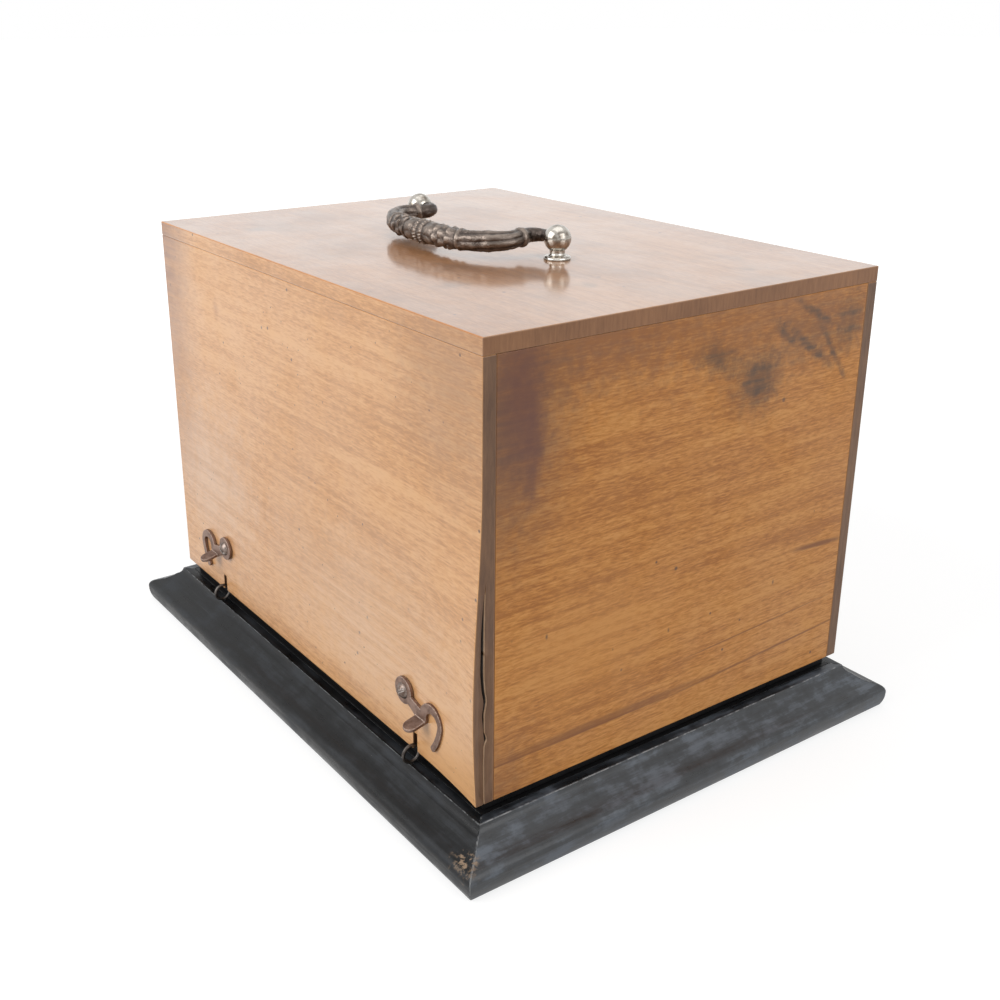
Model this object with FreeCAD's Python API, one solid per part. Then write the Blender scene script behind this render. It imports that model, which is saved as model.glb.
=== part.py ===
import FreeCAD, Part
import math
import os

# Magic lantern in its travelling case. A varnished wooden cover with a swinging handle and turn hooks
# stands on a black moulded base, over a sheet-metal lantern with an oil lamp and a focusing lens.
# Millimetres. The origin is the bottom centre of the base, X runs along the case towards the lens,
# the hooks seen first are on the -Y side, and Z is up.

V = FreeCAD.Vector
X = V(1, 0, 0)
Y = V(0, 1, 0)
Z = V(0, 0, 1)
os.makedirs("parts", exist_ok=True)

# Cover
COVER_LENGTH = 372.0
COVER_WIDTH = 278.0
COVER_HEIGHT = 250.0
TOP_BOARD = 9.0
SIDE_BOARD = 8.0
END_BOARD = 8.0
CORNER_BLOCK = 14.0
CORNER_BLOCK_HEIGHT = 170.0
CORNER_BLOCK_RAISE = 20.0

# Base
PLINTH_HEIGHT = 27.0
BASE_BOARD = 20.0
PLATFORM_HEIGHT = 7.5
PLATFORM_INSET = 5.0
LEDGE = 4.0
MOULDING_LIP = 6.0
COVE_OUT = 4.3
COVE_DROP = 5.3
COVE_BOW = 0.9
SLOPE_OUT = 12.4
SLOPE_DROP = 6.8
SLOPE_BOW = 0.9
NOSE_OUT = 3.8
NOSE_DROP = 6.0
NOSE_BOW = 1.3
FOOT_IN = 2.2
FOOT_BOW = 0.6

# Screw eyes on the base and the slots that clear them
EYE_DIAMETER = 12.5
EYE_WIRE = 2.0
EYE_OUT = 2.6
EYE_SHANK_DEPTH = 14.0
EYE_OFFSET = 8.0
SLOT_WIDTH = 4.0
SLOT_HEIGHT = 11.0

# Turn hooks and their screws
PIVOT_INSET = 71.0
PIVOT_HEIGHT = 35.0
HOOK_PLATE = 2.1
HOOK_GAP = 0.4
BOSS_RADIUS = 8.0
FINGER_WIDTH = 3.8
FINGER_LIFT = 0.6
FINGER_ROOT_ANGLE = 10.0
FINGER_TIP_ANGLE = 37.0
BEND_BAND = 5.3
TAB_WIDTH = 9.5
TAB_LENGTH = 13.0
TAB_DROOP = 15.0
SCREW_RADIUS = 2.1
SCREW_GRIP = 6.5
SCREW_HEAD_RADIUS = 4.8
SCREW_HEAD_HEIGHT = 2.8
SCREW_SLOT_WIDTH = 1.2
SCREW_SLOT_DEPTH = 1.3
SCREW_SLOT_ANGLE = 35.0

# Handle
HANDLE_OFFSET = -6.5
HANDLE_SPAN = 146.0
BALL_DIAMETER = 16.0
BALL_RISE = 12.0
FLANGE_DIAMETER = 16.0
FLANGE_HEIGHT = 2.2
WAIST_DIAMETER = 9.0
POST_SHANK_DIAMETER = 6.0
NUT_WIDTH = 10.0
NUT_HEIGHT = 5.0
WASHER_DIAMETER = 14.0
WASHER_HEIGHT = 1.2
SHANK_TAIL = 1.5
FLANGE_EDGE = 1.0
BAIL_DEPTH = 43.5
BAIL_TILT = 3.0
BAIL_PIN_RADIUS = 2.5
BAIL_PIN_LENGTH = 5.0
BAIL_END_GAP = 0.5
NECK_RADIUS = 3.6
ELBOW_RADIUS = 4.6
ARM_RADIUS = 4.9
GRIP_RADIUS = 5.9
COLLAR_RADIUS = 7.3
COLLAR_STEP = 1.0
COLLAR_LENGTH = 10.0
ELBOW_INSET = 15.0
ARM_INSET = 11.0

# Lamp house
SHEET = 1.2
FOOT_HEIGHT = 12.0
FOOT_DIAMETER = 16.0
FOOT_SET_IN = 14.0
HOUSE_LENGTH = 125.0
HOUSE_WIDTH = 116.0
WALL_HEIGHT = 130.0
EAVES = 3.0
ROOF_RISE = 26.0
ROOF_TOP = 66.0
FLUE_DIAMETER = 52.0
FLUE_OFF_CENTRE = 0.5
FLUE_FORWARD = HOUSE_LENGTH / 2 - FLUE_OFF_CENTRE
FLUE_TAIL = 6.0
FLUE_COLLAR = 4.0
CROWN_DIAMETER = 74.0
CROWN_HEIGHT = 22.0
CROWN_LAP = 8.0
CROWN_RIBS = 4
CROWN_HEADROOM = 13.0
REAR_LINTEL = 12.0
REAR_OPENING_HEIGHT = WALL_HEIGHT - REAR_LINTEL

# Door in the lamp house
DOOR_WIDTH = 58.0
DOOR_HEIGHT = 92.0
DOOR_RAISE = 16.0
DOOR_FROM_REAR = 30.0
DOOR_LAP = 3.0
DOOR_GAP = 0.4
KNUCKLE_RADIUS = 3.0
DOOR_PIN_RADIUS = 1.5
KNUCKLE_HEIGHT = 24.0
LEAF_WIDTH = 9.0
KNOB_RADIUS = 5.0
KNOB_REACH = 9.0

# Condenser and slide stage
BARREL_DIAMETER = 86.0
BARREL_INSIDE = 14.0
BARREL_OUTSIDE = 22.0
BARREL_FLANGE = 98.0
BARREL_FLANGE_THICK = 2.0
FLANGE_HEADROOM = 6.2
AXIS_HEIGHT = FOOT_HEIGHT + SHEET + WALL_HEIGHT - BARREL_FLANGE / 2 - FLANGE_HEADROOM
CONDENSER_EDGE = 2.0
CONDENSER_SAG = 9.0
RETAINER_WIDTH = 3.5
RETAINER_THICK = 2.0
SPACER_WALL = 1.2
STAGE_PLATE = 2.0
STAGE_SIZE = 104.0
STAGE_APERTURE = 62.0
STAGE_RAIL = 8.0
STAGE_SCREW_RADIUS = 1.5
STAGE_SCREW_SPREAD = 40.0
STAGE_SCREW_HEAD = 3.0
SPRING_THICK = 0.6
SPRING_HEIGHT = 6.0
SPRING_LENGTH = 70.0

# Slide carrier
CARRIER_THICK = 9.0
CARRIER_HEIGHT = 74.0
CARRIER_PITCH = 62.0
CARRIER_WINDOW = 52.0
CARRIER_END_SPACE = 15.0
CARRIER_PLAY = 0.3
SPRING_ROOM = 2.6
SLIDE_GLASS = 3.0
SLIDE_LAP = 2.0

# Objective lens with its rack and pinion
TUBE_DIAMETER = 50.0
TUBE_WALL = 2.0
JACKET_WALL = 2.0
JACKET_FLANGE = 82.0
JACKET_FLANGE_THICK = 3.0
JACKET_LIP = 7.0
TUBE_REST_GAP = 1.0
FOCUS_IN = 8.0
FOCUS_OUT = 24.0
FRONT_SPACE = 14.0
HOOD_RIM = 4.0
HOOD_STEP = 2.0
HOOD_DIAMETER = TUBE_DIAMETER + 2 * HOOD_RIM
HOOD_LENGTH = 12.0
OBJECTIVE_EDGE = 3.0
OBJECTIVE_SAG = 3.0
BEAD_DEPTH = 1.5
BEAD_LENGTH = 2.0
HOOD_LIP = 2.0
GEAR_MODULE = 1.0
PINION_TEETH = 12
RACK_WIDTH = 6.0
RACK_BACK = 2.2
RACK_CLEARANCE = 0.3
GEAR_BACKLASH = 0.35
PINION_SHAFT_RADIUS = 2.5
EAR_THICK = 4.0
EAR_SPREAD = 10.0
EAR_WIDTH = 12.0
FOCUS_KNOB_RADIUS = 11.0
FOCUS_KNOB_THICK = 8.0
KNOB_EDGE = 1.0
FOCUS_KNOB_REACH = 24.0

# Oil lamp
TRAY_ROOM = 0.8
TRAY_LIP = 5.0
REAR_JAMB_ROOM = 3.0
LAMP_TRAVEL = 38.0
LAMP_OVERHANG = 12.0
REAR_SPACE = 3.0
RUNNER_SIZE = 4.0
RESERVOIR_DIAMETER = 84.0
TRAY_WIDTH = RESERVOIR_DIAMETER + 2 * (TRAY_ROOM + SHEET)
REAR_OPENING_WIDTH = TRAY_WIDTH + 2 * REAR_JAMB_ROOM
RESERVOIR_HEIGHT = 26.0
DRUM_SHOULDER = 5.0
FILLER_RADIUS = 7.0
FILLER_HEIGHT = 6.0
FILLER_FROM_EDGE = 12.0
FILLER_OUT = RESERVOIR_DIAMETER / 2 - FILLER_FROM_EDGE
FILLER_ANGLE = 50.0
BURNER_RADIUS = 19.0
BURNER_HEIGHT = 22.0
BURNER_STEP = 4.0
WICK_WIDTH = 18.0
WICK_THICK = 2.6
WICK_LENGTH = 36.0
WICK_SHOW = 3.0
WICK_TUBE_WALL = 1.0
WICK_TUBE_RISE = 5.0
LAMP_GLASS_HEIGHT = 64.0
LAMP_GLASS_WALL = 1.4
LAMP_GLASS_BULGE = 22.0
LAMP_GLASS_FOOT = 17.0
LAMP_GLASS_MOUTH = 14.0
GALLERY_RISE = 2.0
GALLERY_WALL = 1.0
REFLECTOR_DIAMETER = 72.0
REFLECTOR_DEPTH = 8.0
STRAP_ROOM = 2.0
REFLECTOR_BEHIND = RESERVOIR_DIAMETER / 2 + STRAP_ROOM - REFLECTOR_DEPTH
BRACKET_WIDTH = 8.0
SPINDLE_RADIUS = 1.6
SPINDLE_SIDE = 12.0
WICK_KNOB_RADIUS = 8.0
WICK_KNOB_THICK = 6.0

# Fits
RUN_CLEARANCE = 0.05
SEAT_CLEARANCE = 0.02
SLIDE_CLEARANCE = 0.3

# Places that follow from the sizes
cover_x = COVER_LENGTH / 2
cover_y = COVER_WIDTH / 2
inner_x = cover_x - END_BOARD
inner_y = cover_y - SIDE_BOARD
floor_z = PLINTH_HEIGHT + PLATFORM_HEIGHT
lid_under = floor_z + COVER_HEIGHT - TOP_BOARD
lid_top = floor_z + COVER_HEIGHT


def block(x0, x1, y0, y1, z0, z1):
    """A box between two corners."""
    return Part.makeBox(x1 - x0, y1 - y0, z1 - z0, V(x0, y0, z0))


def rod(start, direction, radius, length):
    """A round bar."""
    return Part.makeCylinder(radius, length, start, direction)


def pipe(start, direction, outer, inner, length):
    """A round tube."""
    return rod(start, direction, outer, length).cut(rod(start, direction, inner, length))


def outline(*edges):
    """A flat face from edges that follow each other."""
    return Part.Face(Part.Wire(list(edges)))


def polygon(points):
    """A flat face with straight sides."""
    return Part.Face(Part.makePolygon(points + [points[0]]))


def line(a, b):
    return Part.LineSegment(a, b).toShape()


def arc(a, middle, b):
    return Part.Arc(a, middle, b).toShape()


def bowed(a, b, bow):
    """An arc from a to b that stands off the straight line by bow, to the left of the way in XZ."""
    along = (b - a).normalize()
    return arc(a, (a + b) * 0.5 + V(-along.z, 0, along.x) * bow, b)


def turned(profile, centre, axis):
    """A turned solid from its half section, given as radius and height along the axis."""
    face = polygon([V(r, 0, h) for r, h in profile])
    solid = face.revolve(V(0, 0, 0), Z, 360)
    solid.Placement = FreeCAD.Placement(centre, FreeCAD.Rotation(Z, axis))
    return solid


def lens(edge_radius, edge, sag_low, sag_high, centre, axis):
    """A lens whose low rim lies at centre: each face is flat or bulges by its sag."""
    low_rim = V(edge_radius, 0, 0)
    high_rim = V(edge_radius, 0, edge)
    low_pole = V(0, 0, -sag_low)
    high_pole = V(0, 0, edge + sag_high)
    edges = [line(low_pole, high_pole)]
    edges.append(cap_edge(high_pole, high_rim, edge_radius, sag_high, edge, 1))
    edges.append(line(high_rim, low_rim))
    edges.append(cap_edge(low_rim, low_pole, edge_radius, sag_low, 0, -1))
    solid = outline(*edges).revolve(V(0, 0, 0), Z, 360)
    solid.Placement = FreeCAD.Placement(centre, FreeCAD.Rotation(Z, axis))
    return solid


def cap_rise(edge_radius, sag, radius):
    """How far a lens face stands above its rim at a radius."""
    sphere = (edge_radius**2 + sag**2) / (2 * sag)
    return math.sqrt(sphere**2 - radius**2) - (sphere - sag)


def cap_edge(a, b, edge_radius, sag, rim_height, side):
    """The half section of a lens face: straight with no sag, or else an arc of its sphere."""
    if sag == 0:
        return line(a, b)
    half = edge_radius / 2
    return arc(a, V(half, 0, rim_height + side * cap_rise(edge_radius, sag, half)), b)


def mirrored(shape, normal):
    return shape.mirror(V(0, 0, 0), normal)


def save(name, *solids):
    """Write one piece, or a set of like pieces, under its name."""
    shape = solids[0] if len(solids) == 1 else Part.makeCompound(list(solids))
    if not shape.isValid():
        raise ValueError(name + " is not a valid shape")
    shape.exportStep("parts/" + name + ".step")


# Base: a board framed by mitred mouldings, with the platform that carries the cover and the lantern
arris_x = cover_x + LEDGE
arris_y = cover_y + LEDGE
board_x = arris_x - MOULDING_LIP
board_y = arris_y - MOULDING_LIP
reach = COVE_OUT + SLOPE_OUT + NOSE_OUT


def moulding_section():
    """The moulding's section in XZ, with its arris on X = 0 and outwards along +X."""
    inner_foot = V(-MOULDING_LIP, 0, 0)
    inner_top = V(-MOULDING_LIP, 0, PLINTH_HEIGHT)
    arris = V(0, 0, PLINTH_HEIGHT)
    cove_end = arris + V(COVE_OUT, 0, -COVE_DROP)
    slope_end = cove_end + V(SLOPE_OUT, 0, -SLOPE_DROP)
    nose_end = slope_end + V(NOSE_OUT, 0, -NOSE_DROP)
    foot = V(nose_end.x - FOOT_IN, 0, 0)
    return outline(
        line(inner_foot, inner_top),
        line(inner_top, arris),
        bowed(arris, cove_end, -COVE_BOW),
        bowed(cove_end, slope_end, -SLOPE_BOW),
        bowed(slope_end, nose_end, NOSE_BOW),
        bowed(nose_end, foot, FOOT_BOW),
        line(foot, inner_foot),
    )


def moulding(half_length, arris):
    """One moulding along Y on the +X side, mitred at both ends."""
    strip = moulding_section()
    strip.translate(V(arris, -half_length - 2 * reach, 0))
    strip = strip.extrude(Y * (2 * half_length + 4 * reach))
    wide = half_length + 2 * reach
    narrow = half_length - MOULDING_LIP
    plan = [
        V(arris - MOULDING_LIP, -narrow, 0),
        V(arris - MOULDING_LIP, narrow, 0),
        V(arris + 2 * reach, wide, 0),
        V(arris + 2 * reach, -wide, 0),
    ]
    return strip.common(polygon(plan).extrude(Z * PLINTH_HEIGHT))


front_moulding = moulding(arris_y, arris_x)
right_moulding = moulding(arris_x, arris_y)
right_moulding.rotate(V(0, 0, 0), Z, 90)
base_board = block(-board_x, board_x, -board_y, board_y, PLINTH_HEIGHT - BASE_BOARD, PLINTH_HEIGHT)
platform_x = cover_x - PLATFORM_INSET
platform_y = cover_y - PLATFORM_INSET
platform = block(-platform_x, platform_x, -platform_y, platform_y, PLINTH_HEIGHT, floor_z)

# Screw eyes stand in the mouldings, with each ring across the cover's side so that a hook can pass it
pivot_x = cover_x - PIVOT_INSET
eye_x = pivot_x + EYE_OFFSET
eye_y = cover_y + EYE_OUT
ring_radius = (EYE_DIAMETER - EYE_WIRE) / 2
eye_z = PLINTH_HEIGHT + EYE_DIAMETER / 2
corners = [(sx, sy) for sy in (-1, 1) for sx in (1, -1)]


def screw_eye(sx, sy):
    ring = Part.makeTorus(ring_radius, EYE_WIRE / 2, V(sx * eye_x, sy * eye_y, eye_z), X)
    tail_top = eye_z - ring_radius
    tail = rod(V(sx * eye_x, sy * eye_y, PLINTH_HEIGHT - EYE_SHANK_DEPTH), Z, EYE_WIRE / 2,
               tail_top - PLINTH_HEIGHT + EYE_SHANK_DEPTH)
    return ring.fuse(tail).removeSplitter()


def eye_holes(strip):
    """Bore the two holes for the eyes of the strip on the +Y side."""
    for sx in (1, -1):
        hole = rod(V(sx * eye_x, eye_y, PLINTH_HEIGHT - EYE_SHANK_DEPTH), Z,
                   EYE_WIRE / 2 + SEAT_CLEARANCE, 2 * EYE_SHANK_DEPTH)
        strip = strip.cut(hole)
    return strip


right_moulding = eye_holes(right_moulding)
save("base_board", base_board)
save("base_platform", platform)
save("moulding_front", front_moulding)
save("moulding_rear", mirrored(front_moulding, X))
save("moulding_right", right_moulding)
save("moulding_left", mirrored(right_moulding, Y))
save("screw_eyes", *[screw_eye(sx, sy) for sx, sy in corners])

# Cover: the lid lies on the sides and ends, and the ends are let in between the sides
post_places = [HANDLE_OFFSET + HANDLE_SPAN / 2, HANDLE_OFFSET - HANDLE_SPAN / 2]
pivot_z = floor_z + PIVOT_HEIGHT
lid = block(-cover_x, cover_x, -cover_y, cover_y, lid_under, lid_top)
for post_x in post_places:
    lid = lid.cut(rod(V(post_x, 0, lid_under), Z, POST_SHANK_DIAMETER / 2 + SEAT_CLEARANCE, TOP_BOARD))
side = block(-cover_x, cover_x, -cover_y, -inner_y, floor_z, lid_under)
for sx in (1, -1):
    side = side.cut(block(sx * eye_x - SLOT_WIDTH / 2, sx * eye_x + SLOT_WIDTH / 2,
                          -cover_y, -inner_y, floor_z, floor_z + SLOT_HEIGHT))
    side = side.cut(rod(V(sx * pivot_x, -cover_y, pivot_z), Y, SCREW_RADIUS + SEAT_CLEARANCE, SCREW_GRIP))
end = block(inner_x, cover_x, -inner_y, inner_y, floor_z, lid_under)
block_z = floor_z + CORNER_BLOCK_RAISE
corner_block = block(inner_x - CORNER_BLOCK, inner_x, inner_y - CORNER_BLOCK, inner_y,
                     block_z, block_z + CORNER_BLOCK_HEIGHT)
corner_pair = [corner_block, mirrored(corner_block, X)]
save("cover_top", lid)
save("cover_side_left", side)
save("cover_side_right", mirrored(side, Y))
save("cover_end_front", end)
save("cover_end_rear", mirrored(end, X))
save("corner_blocks", *corner_pair, *[mirrored(b, Y) for b in corner_pair])

# Turn hooks: a flat plate on a screw, whose finger is an arc round that screw and passes the eye
finger_mid = math.hypot(EYE_OFFSET, pivot_z - eye_z) - FINGER_LIFT
finger_in = finger_mid - FINGER_WIDTH / 2
finger_out = finger_mid + FINGER_WIDTH / 2


def polar(radius, angle):
    """A point on the hook's plate, with the angle below the level counted as positive."""
    return V(radius * math.cos(math.radians(angle)), 0, -radius * math.sin(math.radians(angle)))


def hook_plate():
    """The plate with its pivot at the origin, its finger towards +X and its back face on Y = 0."""
    half_finger = (FINGER_ROOT_ANGLE + FINGER_TIP_ANGLE) / 2
    root_out = polar(finger_out, FINGER_ROOT_ANGLE)
    root_in = polar(finger_in, FINGER_ROOT_ANGLE)
    tip_out = polar(finger_out, FINGER_TIP_ANGLE)
    tip_in = polar(finger_in, FINGER_TIP_ANGLE)
    tip_end = polar(finger_mid, FINGER_TIP_ANGLE + math.degrees(FINGER_WIDTH / 2 / finger_mid))
    bend_x = (root_in.x + root_out.x) / 2 - BOSS_RADIUS
    bend_top = BOSS_RADIUS / 2
    crown_out = V(bend_x, 0, bend_top)
    crown_in = V(bend_x, 0, bend_top - BEND_BAND)
    throat = V(bend_x - BEND_BAND, 0, root_out.z - 1)
    tab_right = V(throat.x - 0.5, 0, throat.z - BEND_BAND / 2)
    tab_left = tab_right - V(TAB_WIDTH, 0, 0)
    neck = V(bend_x - 2 * BEND_BAND, 0, root_out.z / 2)
    arm_top = V(BOSS_RADIUS / 2, 0, 0)
    arm_low = V(BOSS_RADIUS / 2, 0, -BOSS_RADIUS * 0.7)
    face = outline(
        line(arm_top, neck),
        arc(neck, crown_out, root_out),
        arc(root_out, polar(finger_out, half_finger), tip_out),
        arc(tip_out, tip_end, tip_in),
        arc(tip_in, polar(finger_in, half_finger), root_in),
        arc(root_in, crown_in, throat),
        line(throat, tab_right),
        line(tab_right, tab_left),
        line(tab_left, arm_low),
        line(arm_low, arm_top),
    )
    plate = face.extrude(-Y * HOOK_PLATE)
    plate = plate.fuse(rod(V(0, 0, 0), -Y, BOSS_RADIUS, HOOK_PLATE))
    plate = plate.fuse(thumb_tab(tab_left, tab_right)).removeSplitter()
    return plate.cut(rod(V(0, 0, 0), -Y, SCREW_RADIUS + RUN_CLEARANCE, HOOK_PLATE))


def thumb_tab(left, right):
    """The tab bent out from the plate's lower edge, with a round end."""
    radius = (right.x - left.x) / 2
    middle = (left + right) * 0.5
    bar = block(left.x, right.x, -TAB_LENGTH + radius, 0, left.z, left.z + HOOK_PLATE)
    end_round = rod(V(middle.x, -TAB_LENGTH + radius, left.z), Z, radius, HOOK_PLATE)
    tab = bar.fuse(end_round).removeSplitter()
    tab.rotate(V(middle.x, 0, left.z + HOOK_PLATE), X, TAB_DROOP)
    in_front = block(left.x, right.x, -2 * TAB_LENGTH, 0, left.z - TAB_LENGTH, left.z + 2 * HOOK_PLATE)
    return tab.common(in_front)


def hook_screw():
    """A slotted round-head screw with its axis along Y and the wall's face on Y = 0."""
    head_y = -HOOK_GAP - HOOK_PLATE - RUN_CLEARANCE
    ball = (SCREW_HEAD_RADIUS**2 + SCREW_HEAD_HEIGHT**2) / (2 * SCREW_HEAD_HEIGHT)
    head = Part.makeSphere(ball, V(0, head_y - SCREW_HEAD_HEIGHT + ball, 0))
    head = head.common(block(-ball, ball, head_y - SCREW_HEAD_HEIGHT, head_y, -ball, ball))
    screw = head.fuse(rod(V(0, head_y, 0), Y, SCREW_RADIUS, SCREW_GRIP - head_y)).removeSplitter()
    slot_top = head_y - SCREW_HEAD_HEIGHT
    half_slot = SCREW_SLOT_WIDTH / 2
    cut = block(-ball, ball, slot_top, slot_top + SCREW_SLOT_DEPTH, -half_slot, half_slot)
    cut.rotate(V(0, 0, 0), Y, -SCREW_SLOT_ANGLE)
    return screw.cut(cut)


def to_corner(shape, sx, sy):
    """Move a piece made at the origin for the front end of the left side to its own corner."""
    moved = shape.copy()
    moved.translate(V(pivot_x, -cover_y, pivot_z))
    if sx < 0:
        moved = mirrored(moved, X)
    if sy > 0:
        moved = mirrored(moved, Y)
    return moved


hook = hook_plate()
hook.translate(V(0, -HOOK_GAP, 0))
for sx, sy in corners:
    hook_name = "hook_" + ("left" if sy < 0 else "right") + ("_front" if sx > 0 else "_rear")
    save(hook_name, to_corner(hook, sx, sy))
save("hook_screws", *[to_corner(hook_screw(), sx, sy) for sx, sy in corners])

# Handle: two ball posts through the lid and a cast bail that swings between them
axis_z = lid_top + BALL_RISE
ball_radius = BALL_DIAMETER / 2
nut_low = lid_under - WASHER_HEIGHT - NUT_HEIGHT


def handle_post(post_x, inward):
    """A ball on a waisted foot, with the shank below it and a bore for the bail's pin."""
    flange = FLANGE_DIAMETER / 2
    waist = WAIST_DIAMETER / 2
    foot = turned([
        (0, 0), (flange, 0), (flange, FLANGE_HEIGHT * 0.6), (flange - FLANGE_EDGE, FLANGE_HEIGHT),
        (waist + FLANGE_EDGE, FLANGE_HEIGHT), (waist, FLANGE_HEIGHT + FLANGE_EDGE),
        (waist, BALL_RISE), (0, BALL_RISE),
    ], V(post_x, 0, lid_top), Z)
    shank_low = nut_low - SHANK_TAIL
    shank = rod(V(post_x, 0, shank_low), Z, POST_SHANK_DIAMETER / 2, lid_top - shank_low)
    ball = Part.makeSphere(ball_radius, V(post_x, 0, axis_z))
    post = ball.fuse([foot, shank]).removeSplitter()
    bore = rod(V(post_x, 0, axis_z), X * inward, BAIL_PIN_RADIUS + RUN_CLEARANCE, ball_radius)
    return post.cut(bore)


def nut_and_washer(post_x):
    across = NUT_WIDTH / math.sqrt(3)
    turns = [math.radians(60 * i) for i in range(6)]
    points = [V(post_x + across * math.cos(turn), across * math.sin(turn), nut_low) for turn in turns]
    nut = polygon(points).extrude(Z * NUT_HEIGHT)
    washer = rod(V(post_x, 0, nut_low + NUT_HEIGHT), Z, WASHER_DIAMETER / 2, WASHER_HEIGHT)
    hole = rod(V(post_x, 0, nut_low), Z, POST_SHANK_DIAMETER / 2 + SEAT_CLEARANCE, NUT_HEIGHT + WASHER_HEIGHT)
    return nut.fuse(washer).removeSplitter().cut(hole)


def bail_stations():
    """Half of the bail from its pin to its middle: place along the axis, distance from it, radius, way."""
    end = HANDLE_SPAN / 2 - ball_radius - BAIL_END_GAP
    elbow = HANDLE_SPAN / 2 - ELBOW_INSET - ELBOW_RADIUS
    arm = HANDLE_SPAN / 2 - ARM_INSET - ELBOW_RADIUS
    return [
        (end, 0, NECK_RADIUS, 180),
        ((end + elbow) / 2 + 1, 0.3, NECK_RADIUS + 0.4, 165),
        (elbow + 0.5, 4.5, ELBOW_RADIUS, 100),
        (elbow + 2, BAIL_DEPTH * 0.33, ARM_RADIUS, 82),
        (arm - 1, BAIL_DEPTH * 0.56, GRIP_RADIUS - 0.3, 110),
        (arm - 10, BAIL_DEPTH * 0.8, GRIP_RADIUS, 142),
        (arm - 24, BAIL_DEPTH * 0.95, GRIP_RADIUS + 0.2, 164),
        (arm - 39, BAIL_DEPTH, GRIP_RADIUS + 0.3, 176),
        (0, BAIL_DEPTH + 0.6, GRIP_RADIUS + 0.6, 180),
    ]


def bail():
    """The cast bail lofted through round sections, lying towards -Y, with a collar and two pins."""
    stations = bail_stations()
    sections = []
    for place, out, radius, way in stations:
        turn = math.radians(way)
        ring = Part.Circle(V(place, -out, 0), V(math.cos(turn), -math.sin(turn), 0), radius)
        sections.append(Part.Wire(ring.toShape()))
    half = Part.makeLoft(sections, True, False)
    step = COLLAR_RADIUS - COLLAR_STEP
    thick = COLLAR_LENGTH / 2
    ridge = [(step, 0.15), (COLLAR_RADIUS, 0.3), (COLLAR_RADIUS, 0.7), (step, 1), (0, 1)]
    profile = [(r, -h * thick) for r, h in reversed(ridge)] + [(r, h * thick) for r, h in ridge]
    collar = turned(profile, V(0, -stations[-1][1], 0), X)
    end = stations[0][0]
    pins = [rod(V(side * (end - NECK_RADIUS), 0, 0), X * side, BAIL_PIN_RADIUS, NECK_RADIUS + BAIL_PIN_LENGTH)
            for side in (1, -1)]
    whole = half.fuse([mirrored(half, X), collar] + pins).removeSplitter()
    whole.rotate(V(0, 0, 0), X, BAIL_TILT)
    whole.translate(V(HANDLE_OFFSET, 0, axis_z))
    return whole


save("handle_posts", handle_post(post_places[0], -1), handle_post(post_places[1], 1))
save("handle_nuts", *[nut_and_washer(post_x) for post_x in post_places])
save("handle_bail", bail())

# Lamp house: sheet walls on a floor plate and four turned feet, under a hipped roof and a flue
house_x0 = -inner_x + REAR_SPACE + LAMP_TRAVEL + LAMP_OVERHANG
house_x1 = house_x0 + HOUSE_LENGTH
house_y = HOUSE_WIDTH / 2
house_z = floor_z + FOOT_HEIGHT
wall_z = house_z + SHEET
eaves_z = wall_z + WALL_HEIGHT
optical_z = floor_z + AXIS_HEIGHT
flue_x = house_x0 + FLUE_FORWARD
flue_radius = FLUE_DIAMETER / 2
barrel_radius = BARREL_DIAMETER / 2
bore_radius = barrel_radius - SHEET

feet = []
for foot_x in (house_x0 + FOOT_SET_IN, house_x1 - FOOT_SET_IN):
    for foot_y in (-house_y + FOOT_SET_IN, house_y - FOOT_SET_IN):
        wide = FOOT_DIAMETER / 2
        feet.append(turned([
            (0, 0), (wide, 0), (wide, FOOT_HEIGHT * 0.25), (wide * 0.6, FOOT_HEIGHT * 0.45),
            (wide * 0.6, FOOT_HEIGHT * 0.75), (wide * 0.9, FOOT_HEIGHT), (0, FOOT_HEIGHT),
        ], V(foot_x, foot_y, floor_z), Z))
save("house_feet", *feet)

door_x0 = house_x0 + DOOR_FROM_REAR
door_x1 = door_x0 + DOOR_WIDTH
door_z0 = wall_z + DOOR_RAISE
door_z1 = door_z0 + DOOR_HEIGHT
right_wall = block(house_x0 + SHEET, house_x1 - SHEET, house_y - SHEET, house_y, wall_z, eaves_z)
doorway = block(door_x0 + DOOR_LAP, door_x1 - DOOR_LAP, -house_y, -house_y + SHEET,
                door_z0 + DOOR_LAP, door_z1 - DOOR_LAP)
left_wall = mirrored(right_wall, Y).cut(doorway)
front_wall = block(house_x1 - SHEET, house_x1, -house_y, house_y, wall_z, eaves_z)
front_wall = front_wall.cut(rod(V(house_x1 - SHEET, 0, optical_z), X, barrel_radius + SEAT_CLEARANCE, SHEET))
rear_half = REAR_OPENING_WIDTH / 2
rear_wall = block(house_x0, house_x0 + SHEET, -house_y, house_y, wall_z, eaves_z)
rear_wall = rear_wall.cut(
    block(house_x0, house_x0 + SHEET, -rear_half, rear_half, wall_z, wall_z + REAR_OPENING_HEIGHT))
save("house_wall_left", left_wall)
save("house_wall_right", right_wall)
save("house_wall_front", front_wall)
save("house_wall_rear", rear_wall)


def rectangle(x0, x1, half_y, z):
    points = [V(x0, -half_y, z), V(x1, -half_y, z), V(x1, half_y, z), V(x0, half_y, z)]
    return Part.makePolygon(points + [points[0]])


def hip(thickness):
    """The roof's outer form, or its inside when a sheet's thickness is taken off."""
    out = EAVES - thickness
    low = rectangle(house_x0 - out, house_x1 + out, house_y + out, eaves_z)
    half = ROOF_TOP / 2 - thickness
    high = rectangle(flue_x - half, flue_x + half, half, eaves_z + ROOF_RISE - thickness)
    return Part.makeLoft([low, high], True, True)


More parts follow.
